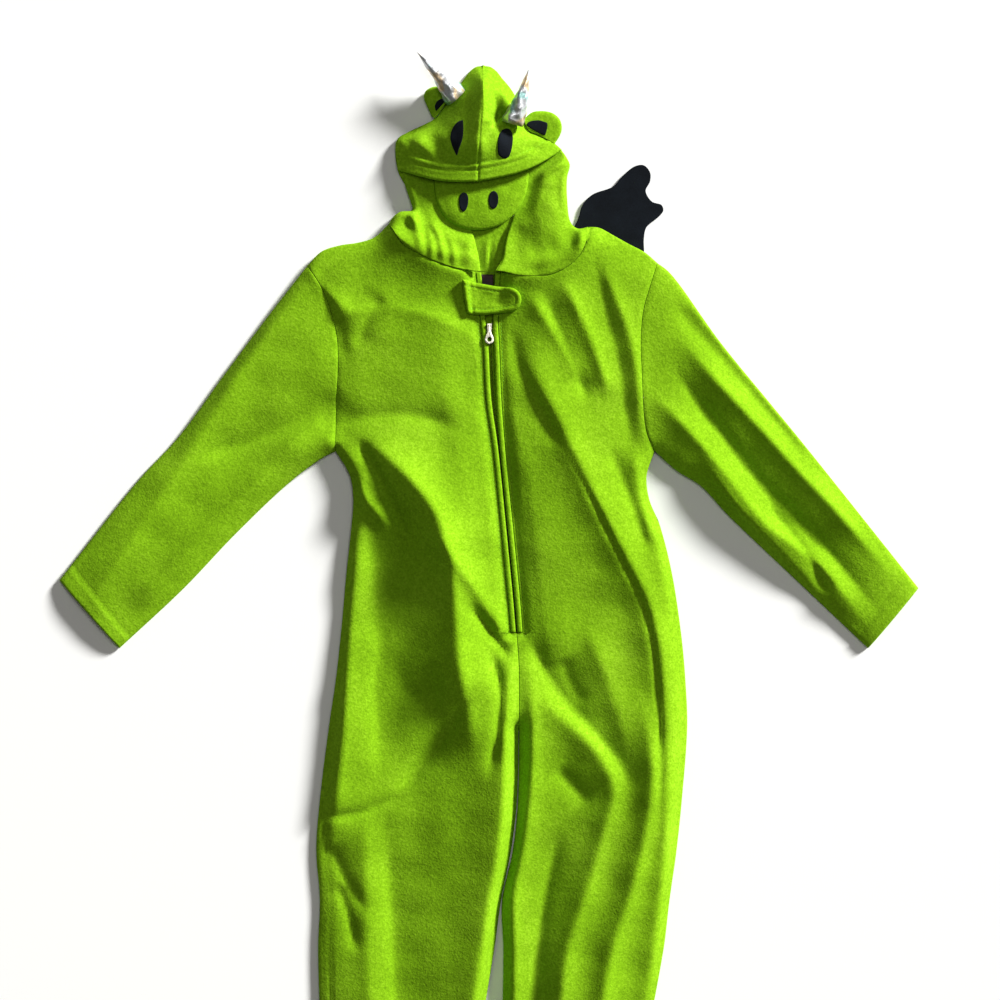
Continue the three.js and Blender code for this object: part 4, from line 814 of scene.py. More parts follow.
def foil_lame():
    """Foil laminated on knit and sewn over stuffing: crinkled metal with warm and blue-green glints."""
    colours = bpy.context.scene.costume_colours
    material, tree = new_material("laminated_foil_lame")
    place = add_node(tree, "ShaderNodeTexCoord").outputs["Object"]
    glints = add_node(tree, "ShaderNodeTexNoise", None, {
        "Vector": place, "Scale": per_metre(24), "Detail": 1.0, "Distortion": 0.6})
    ramp_node = add_node(tree, "ShaderNodeValToRGB", None, {"Fac": glints.outputs["Fac"]})
    set_stops(ramp_node, [(0.34, colours.foil_cool), (0.43, colours.foil), (0.52, colours.foil),
                          (0.6, colours.foil_warm), (0.7, colours.foil)])
    crinkles = add_node(tree, "ShaderNodeTexVoronoi", {"feature": "F1"}, {
        "Vector": place, "Scale": per_metre(8), "Randomness": 1.0})
    bump = add_node(tree, "ShaderNodeBump", None, {
        "Strength": 0.6, "Distance": 0.0018, "Height": crinkles.outputs["Distance"]})
    shader = add_node(tree, "ShaderNodeBsdfPrincipled", None, {
        "Base Color": ramp_node.outputs["Color"], "Metallic": 0.6, "Roughness": 0.36,
        "Normal": bump.outputs[0]})
    add_node(tree, "ShaderNodeOutputMaterial", None, {"Surface": shader.outputs[0]})
    return material


def woven_tape():
    """Polyester zip tape, woven as twill and dyed: fine ribs along its length, matt."""
    colours = bpy.context.scene.costume_colours
    material, tree = new_material("woven_zip_tape")
    place = add_node(tree, "ShaderNodeTexCoord").outputs["Object"]
    # The ribs are 0.5 mm apart on the real tape and are drawn at 0.8 mm, so that they show
    ribs = add_node(tree, "ShaderNodeTexWave", {"bands_direction": "DIAGONAL"}, {
        "Vector": place, "Scale": per_metre(0.8) / 20, "Distortion": 0.3})
    ramp_node = add_node(tree, "ShaderNodeValToRGB", None, {"Fac": ribs.outputs["Fac"]})
    set_stops(ramp_node, [(0.2, tuple(0.5 * c for c in colours.tape)), (0.8, colours.tape)])
    bump = add_node(tree, "ShaderNodeBump", None, {
        "Strength": 0.5, "Distance": 0.0003, "Height": ribs.outputs["Fac"]})
    shader = add_node(tree, "ShaderNodeBsdfPrincipled", None, {
        "Base Color": ramp_node.outputs["Color"], "Roughness": 0.85, "Normal": bump.outputs[0]})
    add_node(tree, "ShaderNodeOutputMaterial", None, {"Surface": shader.outputs[0]})
    return material


def satin_label():
    """Label woven as satin: dull red-brown threads with a soft gleam across them, and no lettering."""
    colours = bpy.context.scene.costume_colours
    material, tree = new_material("woven_satin_label")
    place = add_node(tree, "ShaderNodeTexCoord").outputs["Object"]
    threads = add_node(tree, "ShaderNodeTexWave", {"bands_direction": "Y"}, {
        "Vector": place, "Scale": per_metre(0.7) / 20, "Distortion": 0.6})
    ramp_node = add_node(tree, "ShaderNodeValToRGB", None, {"Fac": threads.outputs["Fac"]})
    set_stops(ramp_node, [(0.2, tuple(0.6 * c for c in colours.label)), (0.8, colours.label)])
    bump = add_node(tree, "ShaderNodeBump", None, {
        "Strength": 0.3, "Distance": 0.0002, "Height": threads.outputs["Fac"]})
    shader = add_node(tree, "ShaderNodeBsdfPrincipled", None, {
        "Base Color": ramp_node.outputs["Color"], "Roughness": 0.55, "Sheen Weight": 0.2,
        "Normal": bump.outputs[0]})
    add_node(tree, "ShaderNodeOutputMaterial", None, {"Surface": shader.outputs[0]})
    return material


def cast_zinc():
    """Zinc, die cast, tumbled and plated: pale metal, a little dulled by rubbing."""
    colours = bpy.context.scene.costume_colours
    material, tree = new_material("die_cast_plated_zinc")
    place = add_node(tree, "ShaderNodeTexCoord").outputs["Object"]
    rubbing = add_node(tree, "ShaderNodeTexNoise", None, {
        "Vector": place, "Scale": per_metre(2.5), "Detail": 4.0})
    roughness = add_node(tree, "ShaderNodeMapRange", None, {
        "Value": rubbing.outputs["Fac"], "To Min": 0.18, "To Max": 0.42})
    bump = add_node(tree, "ShaderNodeBump", None, {
        "Strength": 0.15, "Distance": 0.0001, "Height": rubbing.outputs["Fac"]})
    shader = add_node(tree, "ShaderNodeBsdfPrincipled", None, {
        "Base Color": (*colours.metal, 1), "Metallic": 0.95, "Roughness": roughness.outputs[0],
        "Normal": bump.outputs[0]})
    add_node(tree, "ShaderNodeOutputMaterial", None, {"Surface": shader.outputs[0]})
    return material


def spun_thread():
    """Polyester sewing thread, spun and dyed to the cloth: two plies with a slight lustre."""
    colours = bpy.context.scene.costume_colours
    material, tree = new_material("spun_polyester_thread")
    place = add_node(tree, "ShaderNodeTexCoord").outputs["Object"]
    plies = add_node(tree, "ShaderNodeTexWave", {"bands_direction": "DIAGONAL"}, {
        "Vector": place, "Scale": per_metre(0.6) / 20})
    bump = add_node(tree, "ShaderNodeBump", None, {
        "Strength": 0.4, "Distance": 0.0001, "Height": plies.outputs["Fac"]})
    shader = add_node(tree, "ShaderNodeBsdfPrincipled", None, {
        "Base Color": (*colours.thread, 1), "Roughness": 0.6, "Normal": bump.outputs[0]})
    add_node(tree, "ShaderNodeOutputMaterial", None, {"Surface": shader.outputs[0]})
    return material


def moulded_nylon():
    """Nylon zip coil, drawn and heat set: smooth dark loops with small highlights."""
    colours = bpy.context.scene.costume_colours
    material, tree = new_material("heat_set_nylon_coil")
    place = add_node(tree, "ShaderNodeTexCoord").outputs["Object"]
    grain = add_node(tree, "ShaderNodeTexNoise", None, {"Vector": place, "Scale": per_metre(1.2)})
    roughness = add_node(tree, "ShaderNodeMapRange", None, {
        "Value": grain.outputs["Fac"], "To Min": 0.3, "To Max": 0.5})
    shader = add_node(tree, "ShaderNodeBsdfPrincipled", None, {
        "Base Color": (*colours.coil, 1), "Roughness": roughness.outputs[0], "IOR": 1.53})
    add_node(tree, "ShaderNodeOutputMaterial", None, {"Surface": shader.outputs[0]})
    return material


def studio_paper():
    """Matt paper sweep: pale, even, with a barely visible grain."""
    colours = bpy.context.scene.costume_colours
    material, tree = new_material("matt_paper_sweep")
    place = add_node(tree, "ShaderNodeTexCoord").outputs["Object"]
    grain = add_node(tree, "ShaderNodeTexNoise", None, {
        "Vector": place, "Scale": per_metre(6), "Detail": 4.0})
    bump = add_node(tree, "ShaderNodeBump", None, {
        "Strength": 0.05, "Distance": 0.0003, "Height": grain.outputs["Fac"]})
    shader = add_node(tree, "ShaderNodeBsdfPrincipled", None, {
        "Base Color": (*colours.floor, 1), "Roughness": 0.9, "Specular IOR Level": 0.1,
        "Normal": bump.outputs[0]})
    add_node(tree, "ShaderNodeOutputMaterial", None, {"Surface": shader.outputs[0]})
    return material


MATERIAL_MAKERS = {
    "fleece": brushed_fleece,
    "felt": pressed_felt,
    "lame": foil_lame,
    "tape": woven_tape,
    "label": satin_label,
    "metal": cast_zinc,
    "thread": spun_thread,
    "coil": moulded_nylon,
    "paper": studio_paper,
}
made_materials = {}


def finish(kind):
    """The material of that kind, made when it is first asked for."""
    if kind not in made_materials:
        made_materials[kind] = MATERIAL_MAKERS[kind]()
    return made_materials[kind]


# Trunk

SHOULDER_SHARE = 5 / 11
CELL = 3.6
ZIP_STEP = 0.8
EDGE_STEPS = np.array([0.0, 0.25, 0.7, 1.4, 2.3, 3.4])


def edge_shares(width, cell=CELL):
    """Shares from 0 to 1, with close steps inside the rolled edges at both ends."""
    close = EDGE_STEPS / width
    middle = np.linspace(close[-1], 1 - close[-1], max(2, round(width / cell)))
    return np.concatenate([close[:-1], middle, 1 - close[-2::-1]])


def panel_levels(cell):
    """Heights of a panel's straight rows, from the hem to the armpit."""
    hem = HEM_Y + EDGE_STEPS
    stretches = [np.arange(hem[-1] + cell, CROTCH_Y, cell), [CROTCH_Y],
                 np.arange(CROTCH_Y + cell, ZIP_END_Y - 2, cell), [ZIP_END_Y - ZIP_STEP, ZIP_END_Y],
                 np.arange(ZIP_END_Y + cell, ARMPIT_Y - 1, cell), [ARMPIT_Y]]
    return np.concatenate([hem, *stretches])


def half_panel(side, inner_at, neck_line, cell=CELL):
    """Half a panel: straight rows up to the armpit, then rows that bend into the shoulder and the neck."""
    levels = panel_levels(cell)
    shares = edge_shares(PANEL_WIDTH, cell)
    outer = column_at(TRUNK, f"{side}_outer", levels)
    inner = inner_at(levels)
    across = mix(outer[:, None], inner[:, None], shares)
    straight = np.stack(np.broadcast_arrays(across, levels[:, None]), axis=-1)
    shoulder = along(smooth_line(SHOULDER[side]), ramp(shares, 0, SHOULDER_SHARE))
    neck = along(neck_line, ramp(shares, SHOULDER_SHARE, 1))
    top = np.where(shares[:, None] <= SHOULDER_SHARE, shoulder, neck)
    t = edge_shares(YOKE_LENGTH, cell)[1:]
    arm = along(smooth_line(ARMHOLE[side]), t)
    inner_y = mix(ARMPIT_Y, NECK_Y, t)
    middle = np.stack([inner_at(inner_y), inner_y], axis=1)
    middle[-1] = top[-1]
    u = shares[None, :, None]
    away = top - mix(top[0], top[-1], shares[:, None])
    bend = np.stack([t ** 0.6, t ** 1.7], axis=1)[:, None, :]
    yoke = mix(arm[:, None, :], middle[:, None, :], u) + away[None] * bend
    rows = np.concatenate([straight, yoke])
    return rows if side == "left" else rows[:, ::-1]


def front_inner(side):
    """Inner edge of a front: the inside leg, the middle seam, then the zip's welt."""
    sign = -1 if side == "left" else 1

    def inner_at(y):
        leg = column_at(TRUNK, f"{side}_inner", y)
        seam = zip_middle(y) + sign * size("sewn_gap")
        welt = zip_middle(y) + sign * (welt_outer(y) + size("sewn_gap"))
        return np.where(y < CROTCH_Y, leg, mix(seam, welt, ramp(y, ZIP_END_Y - ZIP_STEP, ZIP_END_Y)))

    return inner_at


def front_rolls(side, x, y):
    """How far a front's edges drop: tight at seams, wide where the cloth turns under."""
    ys = np.linspace(CROTCH_Y, NECK_Y, 180)
    middle = np.stack([front_inner(side)(ys), ys], axis=1)
    turned = [trunk_line(f"{side}_outer"), trunk_line(f"{side}_inner", high=CROTCH_Y),
              smooth_line(SHOULDER[side])]
    edge = distance_to([middle, smooth_line(NECK[side]), smooth_line(ARMHOLE[side])], x, y)
    return np.maximum(rolled(distance_to(turned, x, y), size("fleece") * 1.1), sewn(edge))


def hem_line(side):
    """Lower edge of a leg."""
    xs = [column_at(TRUNK, f"{side}_{edge}", HEM_Y) for edge in ("outer", "inner")]
    return np.array([(xs[0], HEM_Y), (xs[1], HEM_Y)], float)


def zip_stitch_line(side):
    """Topstitching beside the zip, with its share of the box below the zip's end."""
    sign = -1 if side == "left" else 1
    ys = np.linspace(NECK_Y - 3, ZIP_END_Y - 4, 120)
    line = np.stack([zip_middle(ys) + sign * (welt_outer(ys) + 3.2), ys], axis=1)
    return np.vstack([line, (zip_middle(ZIP_END_Y - 4), ZIP_END_Y - 4)])


def leg_seam_line():
    """Side seam of the left leg, which has rolled round onto the front."""
    ys = np.linspace(HEM_Y, -150, 40)
    return np.stack([column_at(TRUNK, "left_outer", ys) + 13 * smooth(-ys, 150, 260), ys], axis=1)


def front_top(side, x, y):
    """A front's outer surface: folds, pressed sewing lines, thick hem and rolled edges."""
    height = cloth_top(x, y)
    height -= pressed(zip_stitch_line(side), x, y, 1.3, 0.9)
    height += hem_rise(y - HEM_Y)
    if side == "left":
        height -= pressed(leg_seam_line(), x, y, 1.8, 1.5)
    return height - front_rolls(side, x, y) - rolled(y - HEM_Y, size("fleece"))


def build_front(side):
    """One front with its leg."""
    plan = half_panel(side, front_inner(side), smooth_line(NECK[side]))
    x, y = plan[..., 0], plan[..., 1]
    top = front_top(side, x, y)
    bottom = np.minimum(cloth_top(x, y) - size("fleece"), top - 0.5)
    bottom = np.maximum(bottom, back_top(x, y) + 0.1)
    top = np.maximum(top, bottom + 0.3)
    piece = grid_wall(f"front_panel_{side}", plan, top, bottom, finish("fleece"))
    dress(piece, "fleece", f"front_{side}")
    lay(piece)


def back_neck(side):
    """Half of the back's neck seam."""
    return smooth_line([*NECK[side][:-1], (float(zip_middle(NECK_Y)), NECK_Y)])


def build_back():
    """The back: both halves in one piece, flat where they lie on the floor and the wings."""
    def inner_at(side):
        return lambda y: np.where(y < CROTCH_Y, column_at(TRUNK, f"{side}_inner", y), zip_middle(y))

    parts = []
    for side in SIDES:
        plan = half_panel(side, inner_at(side), back_neck(side), cell=7)
        x, y = plan[..., 0], plan[..., 1]
        border = [trunk_line(f"{side}_outer"), trunk_line(f"{side}_inner", high=CROTCH_Y),
                  smooth_line(SHOULDER[side]), smooth_line(ARMHOLE[side]), hem_line(side)]
        top = back_top(x, y) - np.minimum(rolled(distance_to(border, x, y), 2.0), 1.8)
        parts.append(grid_wall(f"back_{side}", plan, top, lift(x, y), finish("fleece")))
    piece = dress(joined_halves("back_panel", parts), "fleece", "back")
    lay(piece)


# Sleeves

def sleeve_places(side, stations, across):
    """Plan of a sleeve: stations from the armhole to the cuff, each from the lower to the upper edge."""
    upper = along(smooth_line(SLEEVE_UPPER[side]), stations)[:, None]
    lower = along(smooth_line(SLEEVE_LOWER[side]), stations)[:, None]
    aside = size("sewn_gap") * (1 if side == "left" else -1)
    mouth = along(moved_aside(smooth_line(ARMHOLE[side]), aside), across)
    level = mix(lower[0], upper[0], across[:, None])
    fade = ((1 - stations) ** 2)[:, None, None]
    return mix(lower, upper, across[None, :, None]) + (mouth - level)[None] * fade


def build_sleeve(side):
    """A sleeve: a flattened tube with a hemmed cuff."""
    stations = edge_shares(SLEEVE_LENGTH)
    across = edge_shares(SLEEVE_WIDTH)
    plan = sleeve_places(side, stations, across)
    x, y = plan[..., 0], plan[..., 1]
    low, high = plan[:, :1], plan[:, -1:]
    edge = np.minimum(np.linalg.norm(plan - low, axis=2), np.linalg.norm(plan - high, axis=2))
    from_armhole = stations[:, None] * SLEEVE_LENGTH
    from_cuff = SLEEVE_LENGTH - from_armhole
    top = cloth_top(x, y) + hem_rise(from_cuff) - sewn(from_armhole) - rolled(from_cuff, size("fleece"))
    floor = lift(x, y)
    middle = (top + floor) / 2

    fold_radius = 4.5
    near = 1 - np.clip(edge / fold_radius, 0, 1)
    half = np.maximum((top - floor) / 2, 0.3) * np.sqrt(1 - near * near)
    outer_top, outer_bottom = middle + half, middle - half
    thick = size("fleece")
    shrink = (1 - 2 * thick / np.linalg.norm(high - low, axis=2))[..., None]
    centre = (low + high) / 2
    inner_plan = centre + (plan - centre) * shrink
    air = 0.1 * np.sqrt(np.clip(edge / 5, 0, 1))
    inner_top = np.maximum(outer_top - thick, middle + air)
    inner_bottom = np.minimum(outer_bottom + thick, middle - air)
    outer = np.concatenate([np.dstack([plan, outer_top]), np.dstack([plan, outer_bottom])[:, -2:0:-1]], axis=1)
    inner = np.concatenate([np.dstack([inner_plan, inner_top]),
                            np.dstack([inner_plan, inner_bottom])[:, -2:0:-1]], axis=1)
    piece = tube_wall(f"sleeve_{side}_sewn", outer, inner, finish("fleece"))
    dress(piece, "fleece", f"sleeve_{side}")
    lay(piece)


# Zip

def strip_plan(side, inner_offset, outer_offset, start, end, cell, across):
    """Rows of a strip that follows one side of the zip."""
    sign = -1 if side == "left" else 1
    ys = np.concatenate([start + EDGE_STEPS[:4], np.arange(start + 3, end - 3, cell), end - EDGE_STEPS[3::-1]])
    a = zip_middle(ys) + sign * (zip_slit(ys) + inner_offset)
    b = zip_middle(ys) + sign * (zip_slit(ys) + outer_offset)
    x = mix(np.minimum(a, b)[:, None], np.maximum(a, b)[:, None], across)
    return np.stack(np.broadcast_arrays(x, ys[:, None]), axis=-1)


def welt_top(x, y):
    """Folded welt: a soft roll that stands a little over the front."""
    half = size("welt_width") / 2
    off = np.abs(np.abs(x - zip_middle(y)) - zip_slit(y) - half) / half
    under_tab = smooth(y, 362, 368)
    ends = rolled(np.minimum(y - ZIP_END_Y, NECK_Y - 0.5 - y), 1.5)
    return cloth_top(x, y) + 0.9 * (1 - under_tab) * (1 - off ** 2) - 2.0 * off ** 6 - ends


def tape_top(x, y):
    """Upper side of the zip tapes, under the cloth."""
    under = np.maximum(0, np.abs(x - zip_middle(y)) - welt_outer(y))
    return cloth_top(x, y) - size("fleece") - size("seam") - under * 0.2


def coil_loops(name, ys, side_sign):
    """Loops of the zip's coil: half rings across the tape's edge, closed over each other or open."""
    wire = 0.3
    if side_sign == 0:
        x, reach = zip_middle(ys), np.minimum(0.55, zip_slit(ys) * 0.8)
    else:
        x, reach = zip_middle(ys) + side_sign * (zip_slit(ys) + 0.3), np.full(len(ys), 0.9)
    x, y, z, reach = (v[:, None, None] for v in (x, ys, tape_top(x, ys) + wire, reach))
    turn = np.linspace(0, math.pi, 7)[None, :, None]
    ring = (np.arange(5) * 2 * math.pi / 5)[None, None, :]
    radius = 1 + wire * np.cos(ring)
    points = np.stack(np.broadcast_arrays(x + np.cos(turn) * reach * radius, y + wire * np.sin(ring) + 0 * turn,
                                          z + np.sin(turn) * 0.7 * radius), axis=-1)
    return bars(name, points, finish("coil"))


def finer_copy(name, node, bevel, kind):
    """A cast piece: its solid with the edges rounded off as casting leaves them."""
    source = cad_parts[node]
    piece = placed(name, source.data.copy())
    piece.data.materials.clear()
    piece.data.materials.append(finish(kind))
    for modifier_kind, settings in (
            ("WELD", {"merge_threshold": 1e-6}),
            ("BEVEL", {"width": bevel * MM, "segments": 3, "limit_method": "ANGLE", "angle_limit": 0.6})):
        modifier = piece.modifiers.new(modifier_kind.lower(), modifier_kind)
        for key, value in settings.items():
            setattr(modifier, key, value)
    graph = bpy.context.evaluated_depsgraph_get()
    mesh = bpy.data.meshes.new_from_object(piece.evaluated_get(graph))
    piece.modifiers.clear()
    piece.data = mesh
    mesh.shade_smooth()
    return piece


def build_zip():
    """Welts, tapes, coil, slider, pull tab and the topstitching beside them."""
    for side in SIDES:
        across = np.linspace(0, 1, 13)
        plan = strip_plan(side, 0, size("welt_width"), ZIP_END_Y, NECK_Y - 0.5, 3, across)
        x, y = plan[..., 0], plan[..., 1]
        bottom = cloth_top(x, y) - size("fleece")
        welt = grid_wall(f"welt_{side}", plan, welt_top(x, y), bottom, finish("fleece"))
        dress(welt, "fleece", f"zip_welt_{side}")
        plan = strip_plan(side, 0.3, size("welt_width") + 5, ZIP_END_Y + 2, NECK_Y - 1, 4, np.linspace(0, 1, 7))
        x, y = plan[..., 0], plan[..., 1]
        tape = grid_wall(f"tape_{side}", plan, tape_top(x, y), tape_top(x, y) - 1, finish("tape"))
        dress(tape, "zip_tape", f"zip_tape_{side}")
        lay(tape)
        row = stitches(f"zip_topstitch_{side}", zip_stitch_line(side)[4:],
                       lambda sx, sy, s=side: front_top(s, sx, sy) + 0.1, finish("thread"))
        dress(row, "fleece")
    rows = [coil_loops("coil_closed", np.arange(ZIP_END_Y + 3, SLIDER_LOW_Y, COIL_PITCH), 0)]
    for side, sign in zip(SIDES, (-1, 1)):
        rows.append(coil_loops(f"coil_open_{side}", np.arange(SLIDER_HIGH_Y, NECK_Y - 1.5, COIL_PITCH), sign))
    dress(joined("zip_coil", rows), "zip_tape")
    dress(finer_copy("slider_cast", "zip_slider", 0.25, "metal"), "zip_metal", "zip_slider")
    dress(finer_copy("pull_tab_cast", "zip_pull", 0.35, "metal"), "zip_metal", "zip_pull", body="pull")


# Neck tab and label

def dense_outline(points, step=1.3, soften=3):
    """A closed outline in even steps, its corners a little rounded."""
    chain = closed_chain(np.array(points, float))
    whole = np.linalg.norm(np.diff(chain, axis=0), axis=1).sum()
    line = along(chain, np.arange(int(whole / step)) / int(whole / step))
    for _ in range(soften):
        line = (np.roll(line, 1, axis=0) + 2 * line + np.roll(line, -1, axis=0)) / 4
    return line


def tab_outline():
    """Outline of the neck tab: straight at its sewn end, round at the other."""
    angles = np.radians([-85, -60, -35, -10, 15, 40, 65, 88])
    arc = np.stack([10.5 + 14 * np.cos(angles), 384.5 + 14 * np.sin(angles)], axis=1)
    return np.vstack([[(-43, 407.5), (-41, 389), (-37, 368.5), (-18, 367.5)], arc, [(-4, 400), (-24, 403.5)]])


def build_tab():
    """Neck tab: padded, topstitched inside its edge, and sewn down at its left end."""
    outline = dense_outline(tab_outline())
    rings, middle = disc_plan(outline, [0.12, 0.25, 0.38, 0.5, 0.6, 0.68, 0.74, 0.79, 0.83, 0.87, 0.9, 0.93,
                                        0.95, 0.97, 0.985, 0.995, 1.0])
    border = closed_chain(outline)
    inward = np.sign(np.cross(outline[1] - outline[0], middle - outline[0]))
    inner_row = moved_aside(border, TAB_SEWING * inward)
    anchor = np.array(TAB_SEWN_END)

    def bottom_at(x, y):
        return cloth_top(x, y) + 3 * size("seam")

    def top_at(x, y):
        edge = nearest(border, x, y)[0]
        rim = 0.5 * np.exp(-(((edge - 3.4) / 2.4) ** 2))
        dish = 1.0 * smooth(edge, 6, 11) + 0.35 * wander(x, y, 18, 5) * smooth(edge, 4, 9)
        sewing = pressed(inner_row, x, y, 1.0, 0.9) + pressed(anchor, x, y, 1.5, 1.6)
        return bottom_at(x, y) + 5.2 + rim - dish - sewing - rolled(edge, 2.6)

    tab = disc_wall("neck_tab_padded", rings, middle, top_at, bottom_at, finish("fleece"))
    dress(tab, "fleece", "neck_tab")
    row = stitches("tab_topstitch", inner_row, lambda x, y: top_at(x, y) + 0.1, finish("thread"))
    dress(row, "fleece")
    left, low, right, high = LABEL_BOX
    plan = np.stack(np.meshgrid(np.linspace(left, right, 12), np.linspace(low, high, 12)), axis=-1)
    x, y = plan[..., 0], plan[..., 1]
    bottom = back_top(x, y) + size("seam")
    label = grid_wall("label_bare", plan, bottom + size("patch"), bottom, finish("label"))
    dress(label, "label", "neck_label")
    lay(label)


# Hood

def hood_panel(side, outer, inner, first_row, row_shares, shares):
    """Rows between an outer and an inner line, the first one bent onto a given chain."""
    a = along(smooth_line(outer), row_shares)[:, None]
    b = along(smooth_line(inner), row_shares)[:, None]
    first = along(first_row, shares)
    level = mix(a[0], b[0], shares[:, None])
    fade = ((1 - row_shares) ** 1.6)[:, None, None]
    rows = mix(a, b, shares[None, :, None]) + (first - level)[None] * fade
    return rows if side == "left" else rows[:, ::-1]


def flap_top(x, y):
    """Side flap of the hood: gathered at the neck seam, which rises with the collar, flat under the snout."""
    edge = distance_to([smooth_line(HOOD_SIDE["left"]), smooth_line(HOOD_SIDE["right"])], x, y)
    snout = snout_outline()
    from_snout = np.where(inside(snout, x, y), 0, nearest(closed_chain(snout), x, y)[0])
    under_brim = inside(crown_outline(), x, y)
    beside = smooth(from_snout, 2, 18) * np.where(under_brim, 0, smooth(from_brim(x, y), 2, 16))
    opened = np.maximum(1 - smooth(y, 440, 462), beside)
    height = 5.5 * (1 - np.exp(-edge / 10)) + fold_height(FLAP_FOLDS, x, y) * (1 - np.exp(-edge / 4))
    height += 0.4 * wander(x, y, 24, 11)
    collar = drape_height([row for row in FOLDS if row[0].startswith("collar")], x, y) * (1 - np.exp(-edge / 6))
    return back_top(x, y) + 1.5 * size("seam") + size("fleece") + np.maximum(0, height) * opened + collar


def build_flap(side):
    """One side flap of the hood."""
    sign = 1 if side == "left" else -1
    seam = moved_aside(smooth_line(NECK[side]), sign * size("sewn_gap"))
    corner = (-22 if side == "left" else -5, NECK_Y + 2 * size("seam"))
    plan = hood_panel(side, HOOD_SIDE[side], FLAP_EDGE[side], np.vstack([seam, corner]),
                      edge_shares(95, 2.2), edge_shares(95, 2.2))
    x, y = plan[..., 0], plan[..., 1]
    surface = flap_top(x, y)
    border = [smooth_line(FLAP_EDGE[side]), smooth_line(HOOD_SIDE[side])]
    top = surface - np.minimum(rolled(distance_to(border, x, y), 2.4), 2.1) - sewn(nearest(seam, x, y)[0])
    piece = grid_wall(f"hood_flap_{side}_gathered", plan, top, surface - size("fleece"), finish("fleece"))
    dress(piece, "fleece", f"hood_flap_{side}")
    lay(piece)


def crown_outline():
    """The crown's closed outline: both sides, then the brim."""
    return np.vstack([smooth_line(CROWN_SIDE["left"]), smooth_line(CROWN_SIDE["right"])[::-1],
                      smooth_line(BRIM["right"])[1:], smooth_line(BRIM["left"])[::-1][1:]])


def from_brim(x, y):
    """Distance from the brim."""
    return distance_to([smooth_line(BRIM["left"]), smooth_line(BRIM["right"])], x, y)


def crown_surface(x, y):
    """Crown of the hood without its edges: the dome, its ridge and creases."""
    edge = distance_to([smooth_line(CROWN_SIDE["left"]), smooth_line(CROWN_SIDE["right"])], x, y)
    brim = from_brim(x, y)
    dome = 40 * (0.36 + 0.64 * smooth(brim, 0, 66)) * (1 - np.exp(-((edge / 26) ** 1.3)))
    calm = (1 - np.exp(-((edge / 9) ** 2))) * smooth(brim, 6, 30)
    over_flap = (size("fleece") + size("seam")) * (1 - smooth(y, 556, 582))
    folds = (fold_height(HOOD_FOLDS, x, y) + 0.5 * wander(x, y, 26, 21)) * calm
    return back_top(x, y) + size("seam") + size("fleece") + over_flap + dome + folds


def crown_top(x, y):
    """Crown with the turned hem of its brim and the two rows of sewing above it."""
    brim = from_brim(x, y)
    hem = 1.2 * (1 - smooth(brim, 18, 21))
    rows = 1.5 * sum(np.exp(-(((brim - row) / 1.2) ** 2)) for row in BRIM_SEWING)
    seam = pressed(smooth_line(CROWN_SEAM), x, y, 1.6, 1.0) * (1 - smooth(y, 575, 605))
    return crown_surface(x, y) + hem - rows - seam


def build_crown(side):
    """One half of the hood's crown."""
    shift = np.array([-size("sewn_gap") / 2 if side == "left" else size("sewn_gap") / 2, 0])
    seam = np.array(CROWN_SEAM) + shift
    brim = smooth_line([*BRIM[side][:-1], tuple(seam[0])])
    plan = hood_panel(side, CROWN_SIDE[side], seam, brim, edge_shares(130, 1.8), edge_shares(95, 1.8))
    x, y = plan[..., 0], plan[..., 1]
    border = [smooth_line(CROWN_SIDE[side]), smooth_line(BRIM[side])]
    top = crown_top(x, y) - np.minimum(rolled(distance_to(border, x, y), 2.6), 2.2)
    bottom = np.minimum(crown_surface(x, y) - size("fleece"), top - 0.4)
    piece = grid_wall(f"hood_crown_{side}_sewn", plan, top, bottom, finish("fleece"))
    dress(piece, "fleece", f"hood_crown_{side}")
    lay(piece)


def brim_row(distance):
    """Line of sewing at a distance above the brim."""
    chain = np.vstack([smooth_line(BRIM["left"]), smooth_line(BRIM["right"])[-2::-1]])
    ends = along(chain, np.linspace(0.08, 0.94, 90))
    return moved_aside(ends, distance)


def build_hood_back():
    """Back of the hood, seen between the flaps."""
    parts = []
    for side in SIDES:
        sign = 1 if side == "left" else -1
        seam = moved_aside(back_neck(side), sign * 1.3 * size("seam"))
        start = (float(zip_middle(NECK_Y)), NECK_Y + 1.3 * size("seam"))
        seam[-1] = start
        outline = [*HOOD_SIDE[side][:-1], *CROWN_SIDE[side]]
        middle = [start, (-18, 540), (-19, 651.5)]
        plan = hood_panel(side, outline, middle, seam, edge_shares(240, 4), edge_shares(100, 3))
        x, y = plan[..., 0], plan[..., 1]
        edge = nearest(smooth_line(outline), x, y)[0]
        folds = fold_height(HOOD_BACK_FOLDS, x, y) * (1 - smooth(y, 446, 460))
        top = back_top(x, y) + np.clip(folds, -1.4, 2) - np.minimum(rolled(edge, 2), 1.8)
        parts.append(grid_wall(f"hood_back_{side}", plan, top, lift(x, y), finish("fleece")))
    piece = dress(joined_halves("hood_back_panel", parts), "fleece", "hood_back")
    lay(piece)


# Face

def snout_outline():
    """Outline of the snout in even steps."""
    return dense_outline(smooth_line(SNOUT), step=1.8, soften=2)


def snout_bottom(x, y):
    """Underside of the snout, on the flaps."""
    return 2 * size("fleece") + 3 * size("seam") + lift(x, y)


